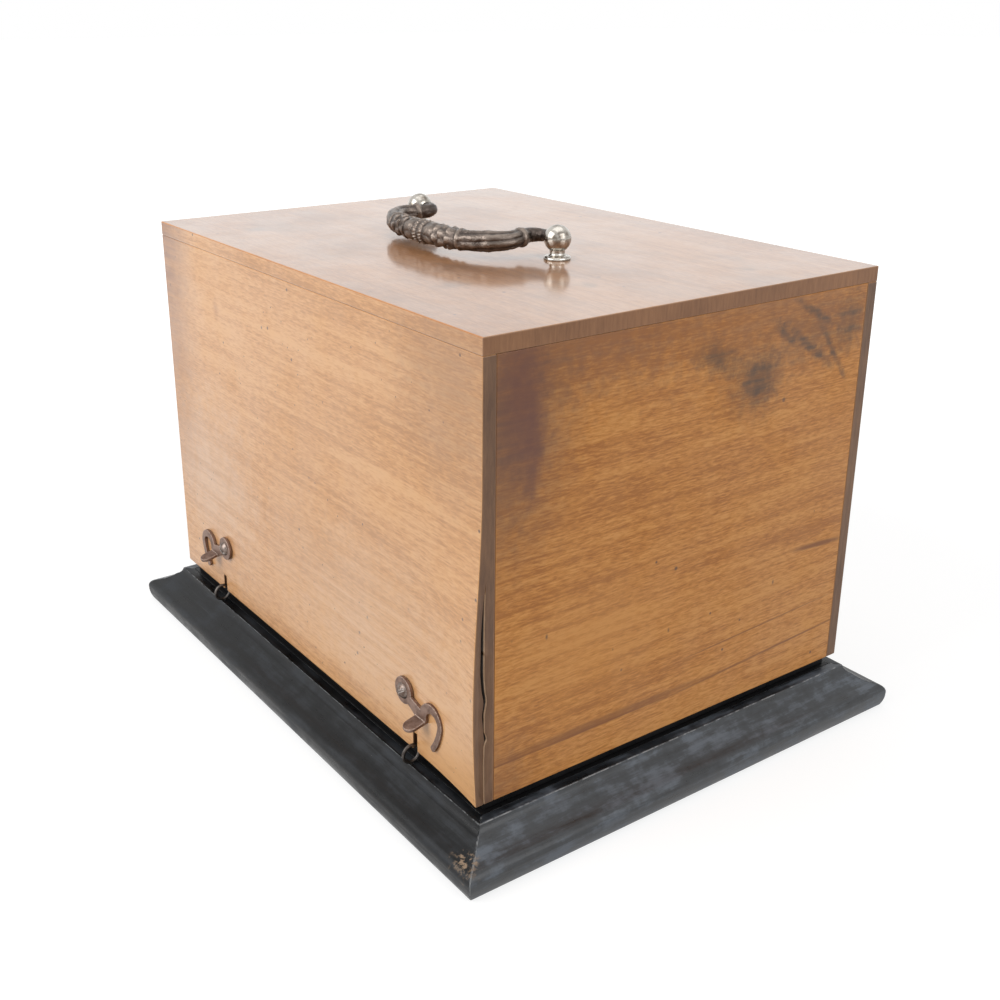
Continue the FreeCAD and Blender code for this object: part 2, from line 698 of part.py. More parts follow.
seat_z = eaves_z + SHEET
seat_out = block(house_x0, house_x1, -house_y, house_y, eaves_z, seat_z)
seat_in = block(house_x0 + SHEET, house_x1 - SHEET, -house_y + SHEET, house_y - SHEET, eaves_z, seat_z)
roof = hip(0).cut(hip(2 * SHEET)).fuse(seat_out.common(hip(0)).cut(seat_in)).removeSplitter()
roof = roof.cut(rod(V(flue_x, 0, eaves_z), Z, flue_radius + SEAT_CLEARANCE, 2 * ROOF_RISE))
save("house_roof", roof)

roof_z = eaves_z + ROOF_RISE
crown_top = nut_low - SHANK_TAIL - CROWN_HEADROOM + NUT_HEIGHT
crown_low = crown_top - CROWN_HEIGHT
flue_top = crown_low + CROWN_LAP
flue_low = roof_z - FLUE_TAIL
flue = pipe(V(flue_x, 0, flue_low), Z, flue_radius, flue_radius - SHEET, flue_top - flue_low)
collar = pipe(V(flue_x, 0, roof_z), Z, flue_radius + FLUE_COLLAR, flue_radius, SHEET)
save("chimney_pipe", flue.fuse(collar).removeSplitter())


def chimney_crown():
    """A flared cap that stands off the pipe on ribs, so that the smoke goes out all round."""
    wide = CROWN_DIAMETER / 2
    knee = wide * 0.55
    knee_high = CROWN_HEIGHT - 2 * SHEET
    cap = turned([
        (0, CROWN_HEIGHT - SHEET), (knee, knee_high - SHEET), (wide - SHEET, CROWN_LAP), (wide - SHEET, 0),
        (wide, 0), (wide, CROWN_LAP), (knee, knee_high), (0, CROWN_HEIGHT),
    ], V(flue_x, 0, crown_low), Z)
    ribs = []
    for i in range(CROWN_RIBS):
        rib = block(flue_radius, wide - SHEET / 2, -SHEET / 2, SHEET / 2, 0, CROWN_LAP)
        rib.rotate(V(0, 0, 0), Z, 360 / CROWN_RIBS * (i + 0.5))
        rib.translate(V(flue_x, 0, crown_low))
        ribs.append(rib.cut(rod(V(flue_x, 0, crown_low), Z, flue_radius + SEAT_CLEARANCE, CROWN_LAP)))
    return cap.fuse(ribs).removeSplitter()


save("chimney_crown", chimney_crown())

# Door: a lapped panel on the left wall, hung on a pin through three knuckles
door_face = -house_y - DOOR_GAP
hinge_x = door_x0 - KNUCKLE_RADIUS
hinge_y = -house_y - KNUCKLE_RADIUS - DOOR_GAP
hinge_mid = (door_z0 + door_z1) / 2
knuckle_half = KNUCKLE_HEIGHT / 2
hinge_base = V(hinge_x, hinge_y, hinge_mid)
door = block(door_x0 + DOOR_GAP, door_x1, door_face - SHEET, door_face, door_z0, door_z1)
door_tab = block(hinge_x, door_x0 + DOOR_LAP, door_face - SHEET, door_face,
                 hinge_mid - knuckle_half, hinge_mid + knuckle_half)
door_knuckle = rod(hinge_base - Z * knuckle_half, Z, KNUCKLE_RADIUS, KNUCKLE_HEIGHT)
door = door.fuse([door_tab, door_knuckle]).removeSplitter()
door = door.cut(rod(hinge_base - Z * knuckle_half, Z, DOOR_PIN_RADIUS + RUN_CLEARANCE, KNUCKLE_HEIGHT))
knob_place = V(door_x1 - DOOR_LAP - KNOB_RADIUS, door_face - SHEET, hinge_mid)
knob_shape = [(0, 0), (0.7, 0), (0.4, 0.3), (0.5, 0.45), (1, 0.65), (0.8, 0.95), (0, 1)]
door_knob = turned([(r * KNOB_RADIUS, h * KNOB_REACH) for r, h in knob_shape], knob_place, -Y)


def fixed_knuckle(low):
    """One of the two knuckles on the wall, with its leaf."""
    knuckle = rod(V(hinge_x, hinge_y, low), Z, KNUCKLE_RADIUS, KNUCKLE_HEIGHT)
    leaf = block(hinge_x - LEAF_WIDTH, hinge_x, -house_y - SHEET, -house_y, low, low + KNUCKLE_HEIGHT)
    both = knuckle.fuse(leaf).removeSplitter()
    return both.cut(rod(V(hinge_x, hinge_y, low), Z, DOOR_PIN_RADIUS + SEAT_CLEARANCE, KNUCKLE_HEIGHT))


pin_low = hinge_mid - 1.5 * KNUCKLE_HEIGHT - SLIDE_CLEARANCE
door_pin = rod(V(hinge_x, hinge_y, pin_low), Z, DOOR_PIN_RADIUS, 3 * KNUCKLE_HEIGHT + 2 * SLIDE_CLEARANCE)
save("lamp_door", door)
save("door_knob", door_knob)
pin_high = hinge_mid + knuckle_half + SLIDE_CLEARANCE
save("door_hinge", fixed_knuckle(pin_high), fixed_knuckle(pin_low), door_pin)

# Condenser: a barrel through the front wall with two lenses, bulging towards each other
barrel_x0 = house_x1 - BARREL_INSIDE
barrel_x1 = house_x1 + BARREL_OUTSIDE
barrel = pipe(V(barrel_x0, 0, optical_z), X, barrel_radius, bore_radius, barrel_x1 - barrel_x0)
flange = pipe(V(house_x1, 0, optical_z), X, BARREL_FLANGE / 2, barrel_radius, BARREL_FLANGE_THICK)
glass_radius = bore_radius - RUN_CLEARANCE
retainer = pipe(V(barrel_x0, 0, optical_z), X, glass_radius, bore_radius - RETAINER_WIDTH, RETAINER_THICK)
rear_rim = barrel_x0 + RETAINER_THICK
front_rim = barrel_x1 - CONDENSER_EDGE
spacer_bore = glass_radius - SPACER_WALL
spacer_rise = cap_rise(glass_radius, CONDENSER_SAG, spacer_bore)
spacer_x0 = rear_rim + CONDENSER_EDGE + spacer_rise
spacer = pipe(V(spacer_x0, 0, optical_z), X, glass_radius, spacer_bore, front_rim - spacer_rise - spacer_x0)
save("condenser_barrel", barrel.fuse(flange).removeSplitter())
save("condenser_rings", retainer, spacer)
save("condenser_lenses",
     lens(glass_radius, CONDENSER_EDGE, 0, CONDENSER_SAG, V(rear_rim, 0, optical_z), X),
     lens(glass_radius, CONDENSER_EDGE, CONDENSER_SAG, 0, V(front_rim, 0, optical_z), X))

# Slide stage: two plates held apart by rails, with springs that press the slide carrier forward
stage_x0 = barrel_x1
gap_x0 = stage_x0 + STAGE_PLATE
gap_x1 = gap_x0 + SPRING_ROOM + CARRIER_THICK + CARRIER_PLAY
stage_x1 = gap_x1 + STAGE_PLATE
stage_half = STAGE_SIZE / 2
carrier_half = CARRIER_HEIGHT / 2
rail_low = optical_z - carrier_half - CARRIER_PLAY - STAGE_RAIL
rail_high = optical_z + carrier_half + CARRIER_PLAY
jacket_bore = TUBE_DIAMETER / 2 + RUN_CLEARANCE
stage_depth = stage_x1 - stage_x0
rail_places = (rail_low, rail_high)
screw_places = [V(stage_x0, side * STAGE_SCREW_SPREAD, z + STAGE_RAIL / 2)
                for side in (-1, 1) for z in rail_places]


def stage_bored(solid):
    """Clear the four stage screws."""
    for place in screw_places:
        solid = solid.cut(rod(place, X, STAGE_SCREW_RADIUS + SEAT_CLEARANCE, stage_depth))
    return solid


def stage_plate(x, aperture):
    plate = block(x, x + STAGE_PLATE, -stage_half, stage_half, optical_z - stage_half, optical_z + stage_half)
    return stage_bored(plate.cut(rod(V(x, 0, optical_z), X, aperture, STAGE_PLATE)))


def stage_screw(place):
    shank = rod(place, X, STAGE_SCREW_RADIUS, stage_depth)
    head = turned([(0, 0), (STAGE_SCREW_HEAD, 0), (STAGE_SCREW_HEAD, 1), (STAGE_SCREW_HEAD / 2, 2), (0, 2)],
                  V(stage_x1, place.y, place.z), X)
    return shank.fuse(head).removeSplitter()


def stage_spring(z):
    """A bowed strip whose ends lie on the rear plate and whose middle comes up to the carrier."""
    near = V(gap_x0, -SPRING_LENGTH / 2, z)
    far = V(gap_x0, SPRING_LENGTH / 2, z)
    crest = V(gap_x0 + SPRING_ROOM - SPRING_THICK - SLIDE_CLEARANCE, 0, z)
    thick = X * SPRING_THICK
    strip = outline(arc(near, crest, far), line(far, far + thick),
                    arc(far + thick, crest + thick, near + thick), line(near + thick, near))
    return strip.extrude(Z * SPRING_HEIGHT)


rails = [stage_bored(block(gap_x0, gap_x1, -stage_half, stage_half, z, z + STAGE_RAIL)) for z in rail_places]
spring_reach = carrier_half - SPRING_HEIGHT - CARRIER_PLAY
save("stage_plate_rear", stage_plate(stage_x0, STAGE_APERTURE / 2))
save("stage_plate_front", stage_plate(gap_x1, jacket_bore))
save("stage_rails", *rails)
save("stage_screws", *[stage_screw(place) for place in screw_places])
spring_places = (optical_z + spring_reach, optical_z - spring_reach - SPRING_HEIGHT)
save("stage_springs", *[stage_spring(z) for z in spring_places])

# Slide carrier: a wooden frame for two glass slides, pushed across so that one picture follows the other
carrier_x0 = gap_x0 + SPRING_ROOM
carrier_mid = CARRIER_PITCH / 2
carrier_reach = inner_y - carrier_mid - CARRIER_END_SPACE
carrier_low = optical_z - carrier_half
window_half = CARRIER_WINDOW / 2
glass_half = window_half + SLIDE_LAP
glass_x0 = carrier_x0 + (CARRIER_THICK - SLIDE_GLASS) / 2
carrier_x1 = carrier_x0 + CARRIER_THICK
frame = block(carrier_x0, carrier_x1, carrier_mid - carrier_reach, carrier_mid + carrier_reach,
              carrier_low, carrier_low + CARRIER_HEIGHT)


def opening(x0, x1, slide_y, half, side_gap=0):
    """A block as high as twice half, centred on the optical axis and moved across to a slide's place."""
    half_width = half - side_gap
    return block(x0, x1, slide_y - half_width, slide_y + half_width, optical_z - half, optical_z + half)


slides = []
for slide_y in (0, CARRIER_PITCH):
    frame = frame.cut(opening(carrier_x0, carrier_x1, slide_y, window_half))
    frame = frame.cut(opening(glass_x0, carrier_x1, slide_y, glass_half))
    slides.append(opening(glass_x0, glass_x0 + SLIDE_GLASS, slide_y, glass_half, SEAT_CLEARANCE))
save("slide_carrier", frame)
save("glass_slides", *slides)

# Objective: a flanged jacket on the stage, a draw tube that slides in it, and a rack and pinion on top
tube_radius = TUBE_DIAMETER / 2
tube_bore = tube_radius - TUBE_WALL
jacket_radius = jacket_bore + JACKET_WALL
tube_x0 = stage_x1 + FOCUS_IN + TUBE_REST_GAP
hood_x1 = inner_x - FRONT_SPACE - FOCUS_OUT
hood_x0 = hood_x1 - HOOD_LENGTH
tube_x1 = hood_x1 - HOOD_LIP
pitch_radius = GEAR_MODULE * PINION_TEETH / 2
rack_pitch_z = optical_z + tube_radius + RACK_BACK + 1.25 * GEAR_MODULE
pinion_z = rack_pitch_z + pitch_radius
tooth_pitch = math.pi * GEAR_MODULE
rack_ends = 2 * tooth_pitch
pinion_x = tube_x0 + FOCUS_OUT + rack_ends
jacket_x1 = pinion_x + EAR_WIDTH / 2 + JACKET_LIP
jacket_length = jacket_x1 - stage_x1
ear_foot = optical_z + math.sqrt(jacket_radius**2 - (EAR_SPREAD + EAR_THICK)**2) - JACKET_WALL / 2
slot_half = RACK_WIDTH / 2 + RACK_CLEARANCE


def jacket():
    """The outer tube with its flange, the rack's slot and two ears for the pinion's shaft."""
    body = pipe(V(stage_x1, 0, optical_z), X, jacket_radius, jacket_bore, jacket_length)
    rim = pipe(V(stage_x1, 0, optical_z), X, JACKET_FLANGE / 2, jacket_bore, JACKET_FLANGE_THICK)
    ear_half = EAR_WIDTH / 2
    ears = []
    for y0 in (EAR_SPREAD, -EAR_SPREAD - EAR_THICK):
        ear = block(pinion_x - ear_half, pinion_x + ear_half, y0, y0 + EAR_THICK, ear_foot, pinion_z)
        ears.append(ear.fuse(rod(V(pinion_x, y0, pinion_z), Y, ear_half, EAR_THICK)))
    body = body.fuse([rim] + ears).removeSplitter()
    body = body.cut(rod(V(stage_x1, 0, optical_z), X, jacket_bore, jacket_length))
    body = body.cut(block(stage_x1, jacket_x1, -slot_half, slot_half, optical_z, pinion_z))
    half = EAR_SPREAD + EAR_THICK
    return body.cut(rod(V(pinion_x, -half, pinion_z), Y, PINION_SHAFT_RADIUS + RUN_CLEARANCE, 2 * half))


def draw_tube():
    """The inner tube, with the rack's seat on top and a bead on each side of each lens."""
    body = pipe(V(tube_x0, 0, optical_z), X, tube_radius, tube_bore, tube_x1 - tube_x0)
    body = body.cut(block(tube_x0, tube_x1, -RACK_WIDTH / 2, RACK_WIDTH / 2, rack_seat, pinion_z))
    beads = []
    for glass_x in (front_glass_x, rear_glass_x):
        for bead_x in (glass_x - bead_rise - BEAD_LENGTH, glass_x + OBJECTIVE_EDGE + bead_rise):
            beads.append(pipe(V(bead_x, 0, optical_z), X, tube_bore, tube_bore - BEAD_DEPTH, BEAD_LENGTH))
    return body.fuse(beads).removeSplitter()


def rack():
    """A toothed bar on the draw tube. A tooth stands under the pinion, between two of its teeth."""
    root_z = rack_pitch_z - 1.25 * GEAR_MODULE
    tip_z = rack_pitch_z + GEAR_MODULE
    rack_x1 = pinion_x + FOCUS_IN + rack_ends
    bar = block(tube_x0, rack_x1, -RACK_WIDTH / 2, RACK_WIDTH / 2, rack_seat, root_z)
    slant = math.tan(math.radians(20))
    first = math.ceil((tube_x0 - pinion_x) / tooth_pitch + 0.5)
    last = math.floor((rack_x1 - pinion_x) / tooth_pitch - 0.5)
    half_pitch = (tooth_pitch - GEAR_BACKLASH) / 4
    half_root = half_pitch + 1.25 * GEAR_MODULE * slant
    half_tip = half_pitch - GEAR_MODULE * slant
    teeth = []
    for i in range(first, last + 1):
        mid = pinion_x + i * tooth_pitch
        points = [V(mid - half_root, -RACK_WIDTH / 2, root_z), V(mid + half_root, -RACK_WIDTH / 2, root_z),
                  V(mid + half_tip, -RACK_WIDTH / 2, tip_z), V(mid - half_tip, -RACK_WIDTH / 2, tip_z)]
        teeth.append(polygon(points).extrude(Y * RACK_WIDTH))
    return bar.fuse(teeth).removeSplitter()


def involute(base, radius):
    """The angle that an involute has turned through where it reaches a radius."""
    unwound = math.sqrt(max((radius / base)**2 - 1, 0))
    return unwound - math.atan(unwound)


def pinion():
    """A twelve-tooth wheel on a shaft, with a space between teeth straight below."""
    base = pitch_radius * math.cos(math.radians(20))
    tip = pitch_radius + GEAR_MODULE
    root = pitch_radius - 1.25 * GEAR_MODULE
    half_pitch = (tooth_pitch - GEAR_BACKLASH) / 4 / pitch_radius
    width = RACK_WIDTH - 2 * RACK_CLEARANCE
    wheel = rod(V(0, -width / 2, 0), Y, root, width)
    flank = [base, (base + pitch_radius) / 2, pitch_radius, (pitch_radius + tip) / 2, tip]
    for i in range(PINION_TEETH):
        middle = 2 * math.pi / PINION_TEETH * (i + 0.5) - math.pi / 2
        turns = [half_pitch + involute(base, pitch_radius) - involute(base, r) for r in flank]
        rising = [(root * 0.9, turns[0])] + list(zip(flank, turns))
        points = [(r, middle - turn) for r, turn in rising]
        points += [(r, middle + turn) for r, turn in reversed(rising)]
        tooth = polygon([V(r * math.cos(a), -width / 2, r * math.sin(a)) for r, a in points])
        wheel = wheel.fuse(tooth.extrude(Y * width))
    shaft = rod(V(0, -FOCUS_KNOB_REACH, 0), Y, PINION_SHAFT_RADIUS, 2 * FOCUS_KNOB_REACH)
    wheel = wheel.fuse(shaft).removeSplitter()
    wheel.translate(V(pinion_x, 0, pinion_z))
    return wheel


def focus_knob(side):
    """A milled knob on one end of the pinion's shaft."""
    wide = FOCUS_KNOB_RADIUS
    thick = FOCUS_KNOB_THICK
    bore = PINION_SHAFT_RADIUS + SEAT_CLEARANCE
    shape = [
        (bore, -thick), (wide * 0.6, -thick), (wide * 0.6, -thick * 0.8), (wide, -thick * 0.8),
        (wide, -thick * 0.1), (wide - KNOB_EDGE, 0), (bore, 0),
    ]
    return turned(shape, V(pinion_x, side * FOCUS_KNOB_REACH, pinion_z), Y * side)


rack_seat = optical_z + tube_radius - TUBE_WALL / 2
hood_radius = HOOD_DIAMETER / 2
hood_bore = tube_radius + SEAT_CLEARANCE
hood = turned([
    (hood_bore, 0), (hood_radius - HOOD_STEP, 0), (hood_radius - HOOD_STEP, HOOD_LENGTH * 0.5),
    (hood_radius, HOOD_LENGTH * 0.7), (hood_radius, HOOD_LENGTH), (tube_bore, HOOD_LENGTH),
    (tube_bore, HOOD_LENGTH - HOOD_LIP), (hood_bore, HOOD_LENGTH - HOOD_LIP),
], V(hood_x0, 0, optical_z), X)
element_radius = tube_bore - RUN_CLEARANCE
bead_rise = cap_rise(element_radius, OBJECTIVE_SAG, tube_bore - BEAD_DEPTH)
front_glass_x = tube_x1 - BEAD_LENGTH - OBJECTIVE_EDGE - OBJECTIVE_SAG
rear_glass_x = tube_x0 + BEAD_LENGTH + OBJECTIVE_SAG
save("objective_jacket", jacket())
save("draw_tube", draw_tube())
save("lens_hood", hood)
save("objective_lenses", *[lens(element_radius, OBJECTIVE_EDGE, OBJECTIVE_SAG, OBJECTIVE_SAG,
                                V(glass_x, 0, optical_z), X) for glass_x in (front_glass_x, rear_glass_x)])
save("focus_rack", rack())
save("focus_pinion", pinion())
save("focus_knobs", focus_knob(1), focus_knob(-1))

# Oil lamp on a tray that slides out at the rear between two runners
lamp_x = flue_x
tray_half = TRAY_WIDTH / 2
tray_z = wall_z + SLIDE_CLEARANCE
tray_x0 = house_x0 + SHEET
tray_x1 = lamp_x + RESERVOIR_DIAMETER / 2 + TRAY_LIP
reservoir_z = tray_z + SHEET
reservoir_top = reservoir_z + RESERVOIR_HEIGHT
burner_top = reservoir_top + BURNER_HEIGHT
spindle_z = reservoir_top + BURNER_HEIGHT / 2
knob_x0 = house_x0 - LAMP_OVERHANG
tray = block(tray_x0, tray_x1, -tray_half, tray_half, tray_z, reservoir_z)
tray = tray.fuse(block(tray_x0, tray_x0 + SHEET, -tray_half, tray_half, tray_z, tray_z + TRAY_LIP))
for lip_y in (-tray_half, tray_half - SHEET):
    tray = tray.fuse(block(tray_x0, tray_x1, lip_y, lip_y + SHEET, tray_z, tray_z + TRAY_LIP))
runner_y = tray_half + SLIDE_CLEARANCE
runner = block(house_x0 + SHEET, tray_x1, runner_y, runner_y + RUNNER_SIZE, wall_z, wall_z + RUNNER_SIZE)
house_floor = block(house_x0, house_x1, -house_y, house_y, house_z, wall_z)
save("house_floor", house_floor.fuse([runner, mirrored(runner, Y)]).removeSplitter())
save("lamp_tray", tray.removeSplitter())

tube_half_x = WICK_THICK / 2 + SLIDE_CLEARANCE
tube_half_y = WICK_WIDTH / 2 + SLIDE_CLEARANCE
wick_top = burner_top + WICK_TUBE_RISE + WICK_SHOW
wick_low = wick_top - WICK_LENGTH
wick_well = block(lamp_x - tube_half_x, lamp_x + tube_half_x, -tube_half_y, tube_half_y,
                  wick_low - SLIDE_CLEARANCE, wick_top)
drum = RESERVOIR_DIAMETER / 2
reservoir = turned([
    (0, 0), (drum, 0), (drum, RESERVOIR_HEIGHT - DRUM_SHOULDER), (drum - DRUM_SHOULDER, RESERVOIR_HEIGHT),
    (0, RESERVOIR_HEIGHT),
], V(lamp_x, 0, reservoir_z), Z)
oil_space = rod(V(lamp_x, 0, reservoir_z + SHEET), Z, drum - DRUM_SHOULDER, RESERVOIR_HEIGHT - 2 * SHEET)
filler_turn = math.radians(FILLER_ANGLE)
filler_x = lamp_x + FILLER_OUT * math.cos(filler_turn)
filler_y = FILLER_OUT * math.sin(filler_turn)
filler = turned([
    (0, 0), (FILLER_RADIUS * 0.8, 0), (FILLER_RADIUS * 0.8, 2), (FILLER_RADIUS, 2),
    (FILLER_RADIUS, FILLER_HEIGHT - 1), (FILLER_RADIUS - 1, FILLER_HEIGHT), (0, FILLER_HEIGHT),
], V(filler_x, filler_y, reservoir_top), Z)
gallery = LAMP_GLASS_FOOT + LAMP_GLASS_WALL
gallery_in = gallery + SEAT_CLEARANCE
gallery_out = gallery + GALLERY_WALL
burner_neck = BURNER_RADIUS - BURNER_STEP
burner = turned([
    (0, 0), (burner_neck, 0), (burner_neck, BURNER_HEIGHT * 0.25), (BURNER_RADIUS, BURNER_HEIGHT * 0.4),
    (BURNER_RADIUS, BURNER_HEIGHT * 0.8), (gallery_out, BURNER_HEIGHT * 0.85),
    (gallery_out, BURNER_HEIGHT + GALLERY_RISE), (gallery_in, BURNER_HEIGHT + GALLERY_RISE),
    (gallery_in, BURNER_HEIGHT), (0, BURNER_HEIGHT),
], V(lamp_x, 0, reservoir_top), Z)
wick_tube_x = tube_half_x + WICK_TUBE_WALL
wick_tube_y = tube_half_y + WICK_TUBE_WALL
wick_tube = block(lamp_x - wick_tube_x, lamp_x + wick_tube_x, -wick_tube_y, wick_tube_y,
                  burner_top, burner_top + WICK_TUBE_RISE)
spindle_start = V(lamp_x - wick_tube_x, SPINDLE_SIDE, spindle_z)
spindle_hole = rod(spindle_start, -X, SPINDLE_RADIUS + RUN_CLEARANCE, BURNER_RADIUS)
air_space = rod(V(lamp_x, 0, reservoir_top + SHEET), Z, burner_neck - SHEET, BURNER_HEIGHT - 2 * SHEET)
burner = burner.fuse(wick_tube).removeSplitter().cut(air_space).cut(wick_well).cut(spindle_hole)
glass_points = [
    (LAMP_GLASS_FOOT, 0), (LAMP_GLASS_FOOT, GALLERY_RISE + LAMP_GLASS_WALL),
    (LAMP_GLASS_BULGE, LAMP_GLASS_HEIGHT * 0.32), (LAMP_GLASS_MOUTH + 1, LAMP_GLASS_HEIGHT * 0.62),
    (LAMP_GLASS_MOUTH, LAMP_GLASS_HEIGHT),
]
glass_outer = [(r + LAMP_GLASS_WALL, h) for r, h in glass_points]
glass_inner = list(reversed(glass_points))
save("lamp_reservoir", reservoir.cut(oil_space).cut(wick_well))
save("filler_cap", filler)
save("burner", burner)
wick_half = WICK_THICK / 2
wick_side = WICK_WIDTH / 2
save("wick", block(lamp_x - wick_half, lamp_x + wick_half, -wick_side, wick_side, wick_low, wick_top))
save("lamp_glass", turned(glass_outer + glass_inner, V(lamp_x, 0, burner_top), Z))


def reflector():
    """A dished mirror behind the flame, on a strap that stands on the tray, clear of drum and spindle."""
    rim = REFLECTOR_DIAMETER / 2
    sphere = (rim**2 + REFLECTOR_DEPTH**2) / (2 * REFLECTOR_DEPTH)
    back_x = lamp_x - REFLECTOR_BEHIND - REFLECTOR_DEPTH
    centre = V(back_x + sphere, 0, optical_z)
    dish = Part.makeSphere(sphere, centre).cut(Part.makeSphere(sphere - SHEET, centre))
    dish = dish.common(block(back_x, back_x + REFLECTOR_DEPTH, -rim, rim, optical_z - rim, optical_z + rim))
    dish = dish.common(rod(V(back_x, 0, optical_z), X, rim, REFLECTOR_DEPTH))
    drum_room = rod(V(lamp_x, 0, reservoir_z), Z, drum + SLIDE_CLEARANCE, RESERVOIR_HEIGHT + SLIDE_CLEARANCE)
    spindle_room = rod(spindle_start, -X, SPINDLE_RADIUS + SLIDE_CLEARANCE, spindle_start.x - knob_x0)
    dish = dish.cut(drum_room).cut(spindle_room)
    strap_x = back_x - 2 * SHEET
    strap = block(strap_x, strap_x + 2 * SHEET, -BRACKET_WIDTH / 2, BRACKET_WIDTH / 2, reservoir_z, optical_z)
    boss = rod(V(strap_x, 0, optical_z), X, BRACKET_WIDTH / 2, 3 * SHEET)
    return dish.fuse([strap, boss]).removeSplitter()


save("reflector", reflector())
knob_x1 = knob_x0 + WICK_KNOB_THICK
spindle = rod(spindle_start, -X, SPINDLE_RADIUS, spindle_start.x - knob_x1)
wick_knob = turned([
    (0, 0), (WICK_KNOB_RADIUS - KNOB_EDGE, 0), (WICK_KNOB_RADIUS, KNOB_EDGE),
    (WICK_KNOB_RADIUS, WICK_KNOB_THICK - KNOB_EDGE), (WICK_KNOB_RADIUS - KNOB_EDGE, WICK_KNOB_THICK),
    (0, WICK_KNOB_THICK),
], V(knob_x0, SPINDLE_SIDE, spindle_z), X)
save("wick_knob", spindle.fuse(wick_knob).removeSplitter())
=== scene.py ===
# %% [markdown]
# # A magic lantern in its travelling case
# The lantern stands on a black moulded base under a varnished wooden cover, which lifts off by a cast
# handle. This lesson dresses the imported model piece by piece: finishes first, then the cover, the base, the
# ironwork, the handle and the lantern inside, and last the studio with its camera.

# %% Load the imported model
import math

import bmesh
import bpy
from mathutils import Matrix, Vector, noise


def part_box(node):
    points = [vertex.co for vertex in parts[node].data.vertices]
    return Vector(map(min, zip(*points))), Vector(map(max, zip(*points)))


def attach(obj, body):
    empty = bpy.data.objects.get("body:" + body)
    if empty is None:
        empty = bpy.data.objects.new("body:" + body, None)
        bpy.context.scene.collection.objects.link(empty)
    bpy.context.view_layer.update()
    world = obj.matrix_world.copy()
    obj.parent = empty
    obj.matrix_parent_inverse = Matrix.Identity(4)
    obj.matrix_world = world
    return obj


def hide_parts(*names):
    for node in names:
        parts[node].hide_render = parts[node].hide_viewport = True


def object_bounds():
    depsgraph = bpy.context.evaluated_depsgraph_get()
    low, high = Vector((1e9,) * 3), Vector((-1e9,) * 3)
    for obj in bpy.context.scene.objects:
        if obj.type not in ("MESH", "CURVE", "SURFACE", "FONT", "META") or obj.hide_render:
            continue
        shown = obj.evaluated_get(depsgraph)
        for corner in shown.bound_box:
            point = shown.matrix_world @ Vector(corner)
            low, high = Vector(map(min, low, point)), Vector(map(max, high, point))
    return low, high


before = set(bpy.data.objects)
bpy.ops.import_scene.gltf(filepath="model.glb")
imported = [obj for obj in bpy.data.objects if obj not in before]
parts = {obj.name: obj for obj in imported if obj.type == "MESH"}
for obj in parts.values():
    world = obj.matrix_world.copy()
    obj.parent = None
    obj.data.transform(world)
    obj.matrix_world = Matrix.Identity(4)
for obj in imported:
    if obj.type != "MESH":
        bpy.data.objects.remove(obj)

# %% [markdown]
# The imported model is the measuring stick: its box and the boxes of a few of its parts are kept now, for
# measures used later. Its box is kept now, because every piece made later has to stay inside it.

MM = 0.001
cad_low, cad_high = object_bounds()
lid_low, lid_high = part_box("cover_top")
side_low, side_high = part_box("cover_side_left")
end_low, end_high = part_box("cover_end_front")
print("case", [round(size, 4) for size in cad_high - cad_low], "from", len(parts), "nodes")

# %% [markdown]
# A finish is a Principled shader with patterns on Object coordinates. Those are metres in the part's own
# frame, so a pattern's scale is simply how often it repeats in a metre. The small class below keeps the
# node trees short: each method adds one node and hands back the socket that the next one needs.

# %% A short way to write node trees
SPECK_CORE = 0.3
SPECK_CHOICE = 0.02
RAGGED_EDGE = 140


def tone(red, green, blue):
    """A colour in linear light, as a node socket wants it."""
    return (red, green, blue, 1.0)


def evenly(often):
    """The same scale along X, Y and Z."""
    return (often,) * 3


def grain_scale(axis, along, across):
    """A scale on a board whose grain runs along an axis, 0 for X, 1 for Y and 2 for Z."""
    scale = [across] * 3
    scale[axis] = along
    return scale


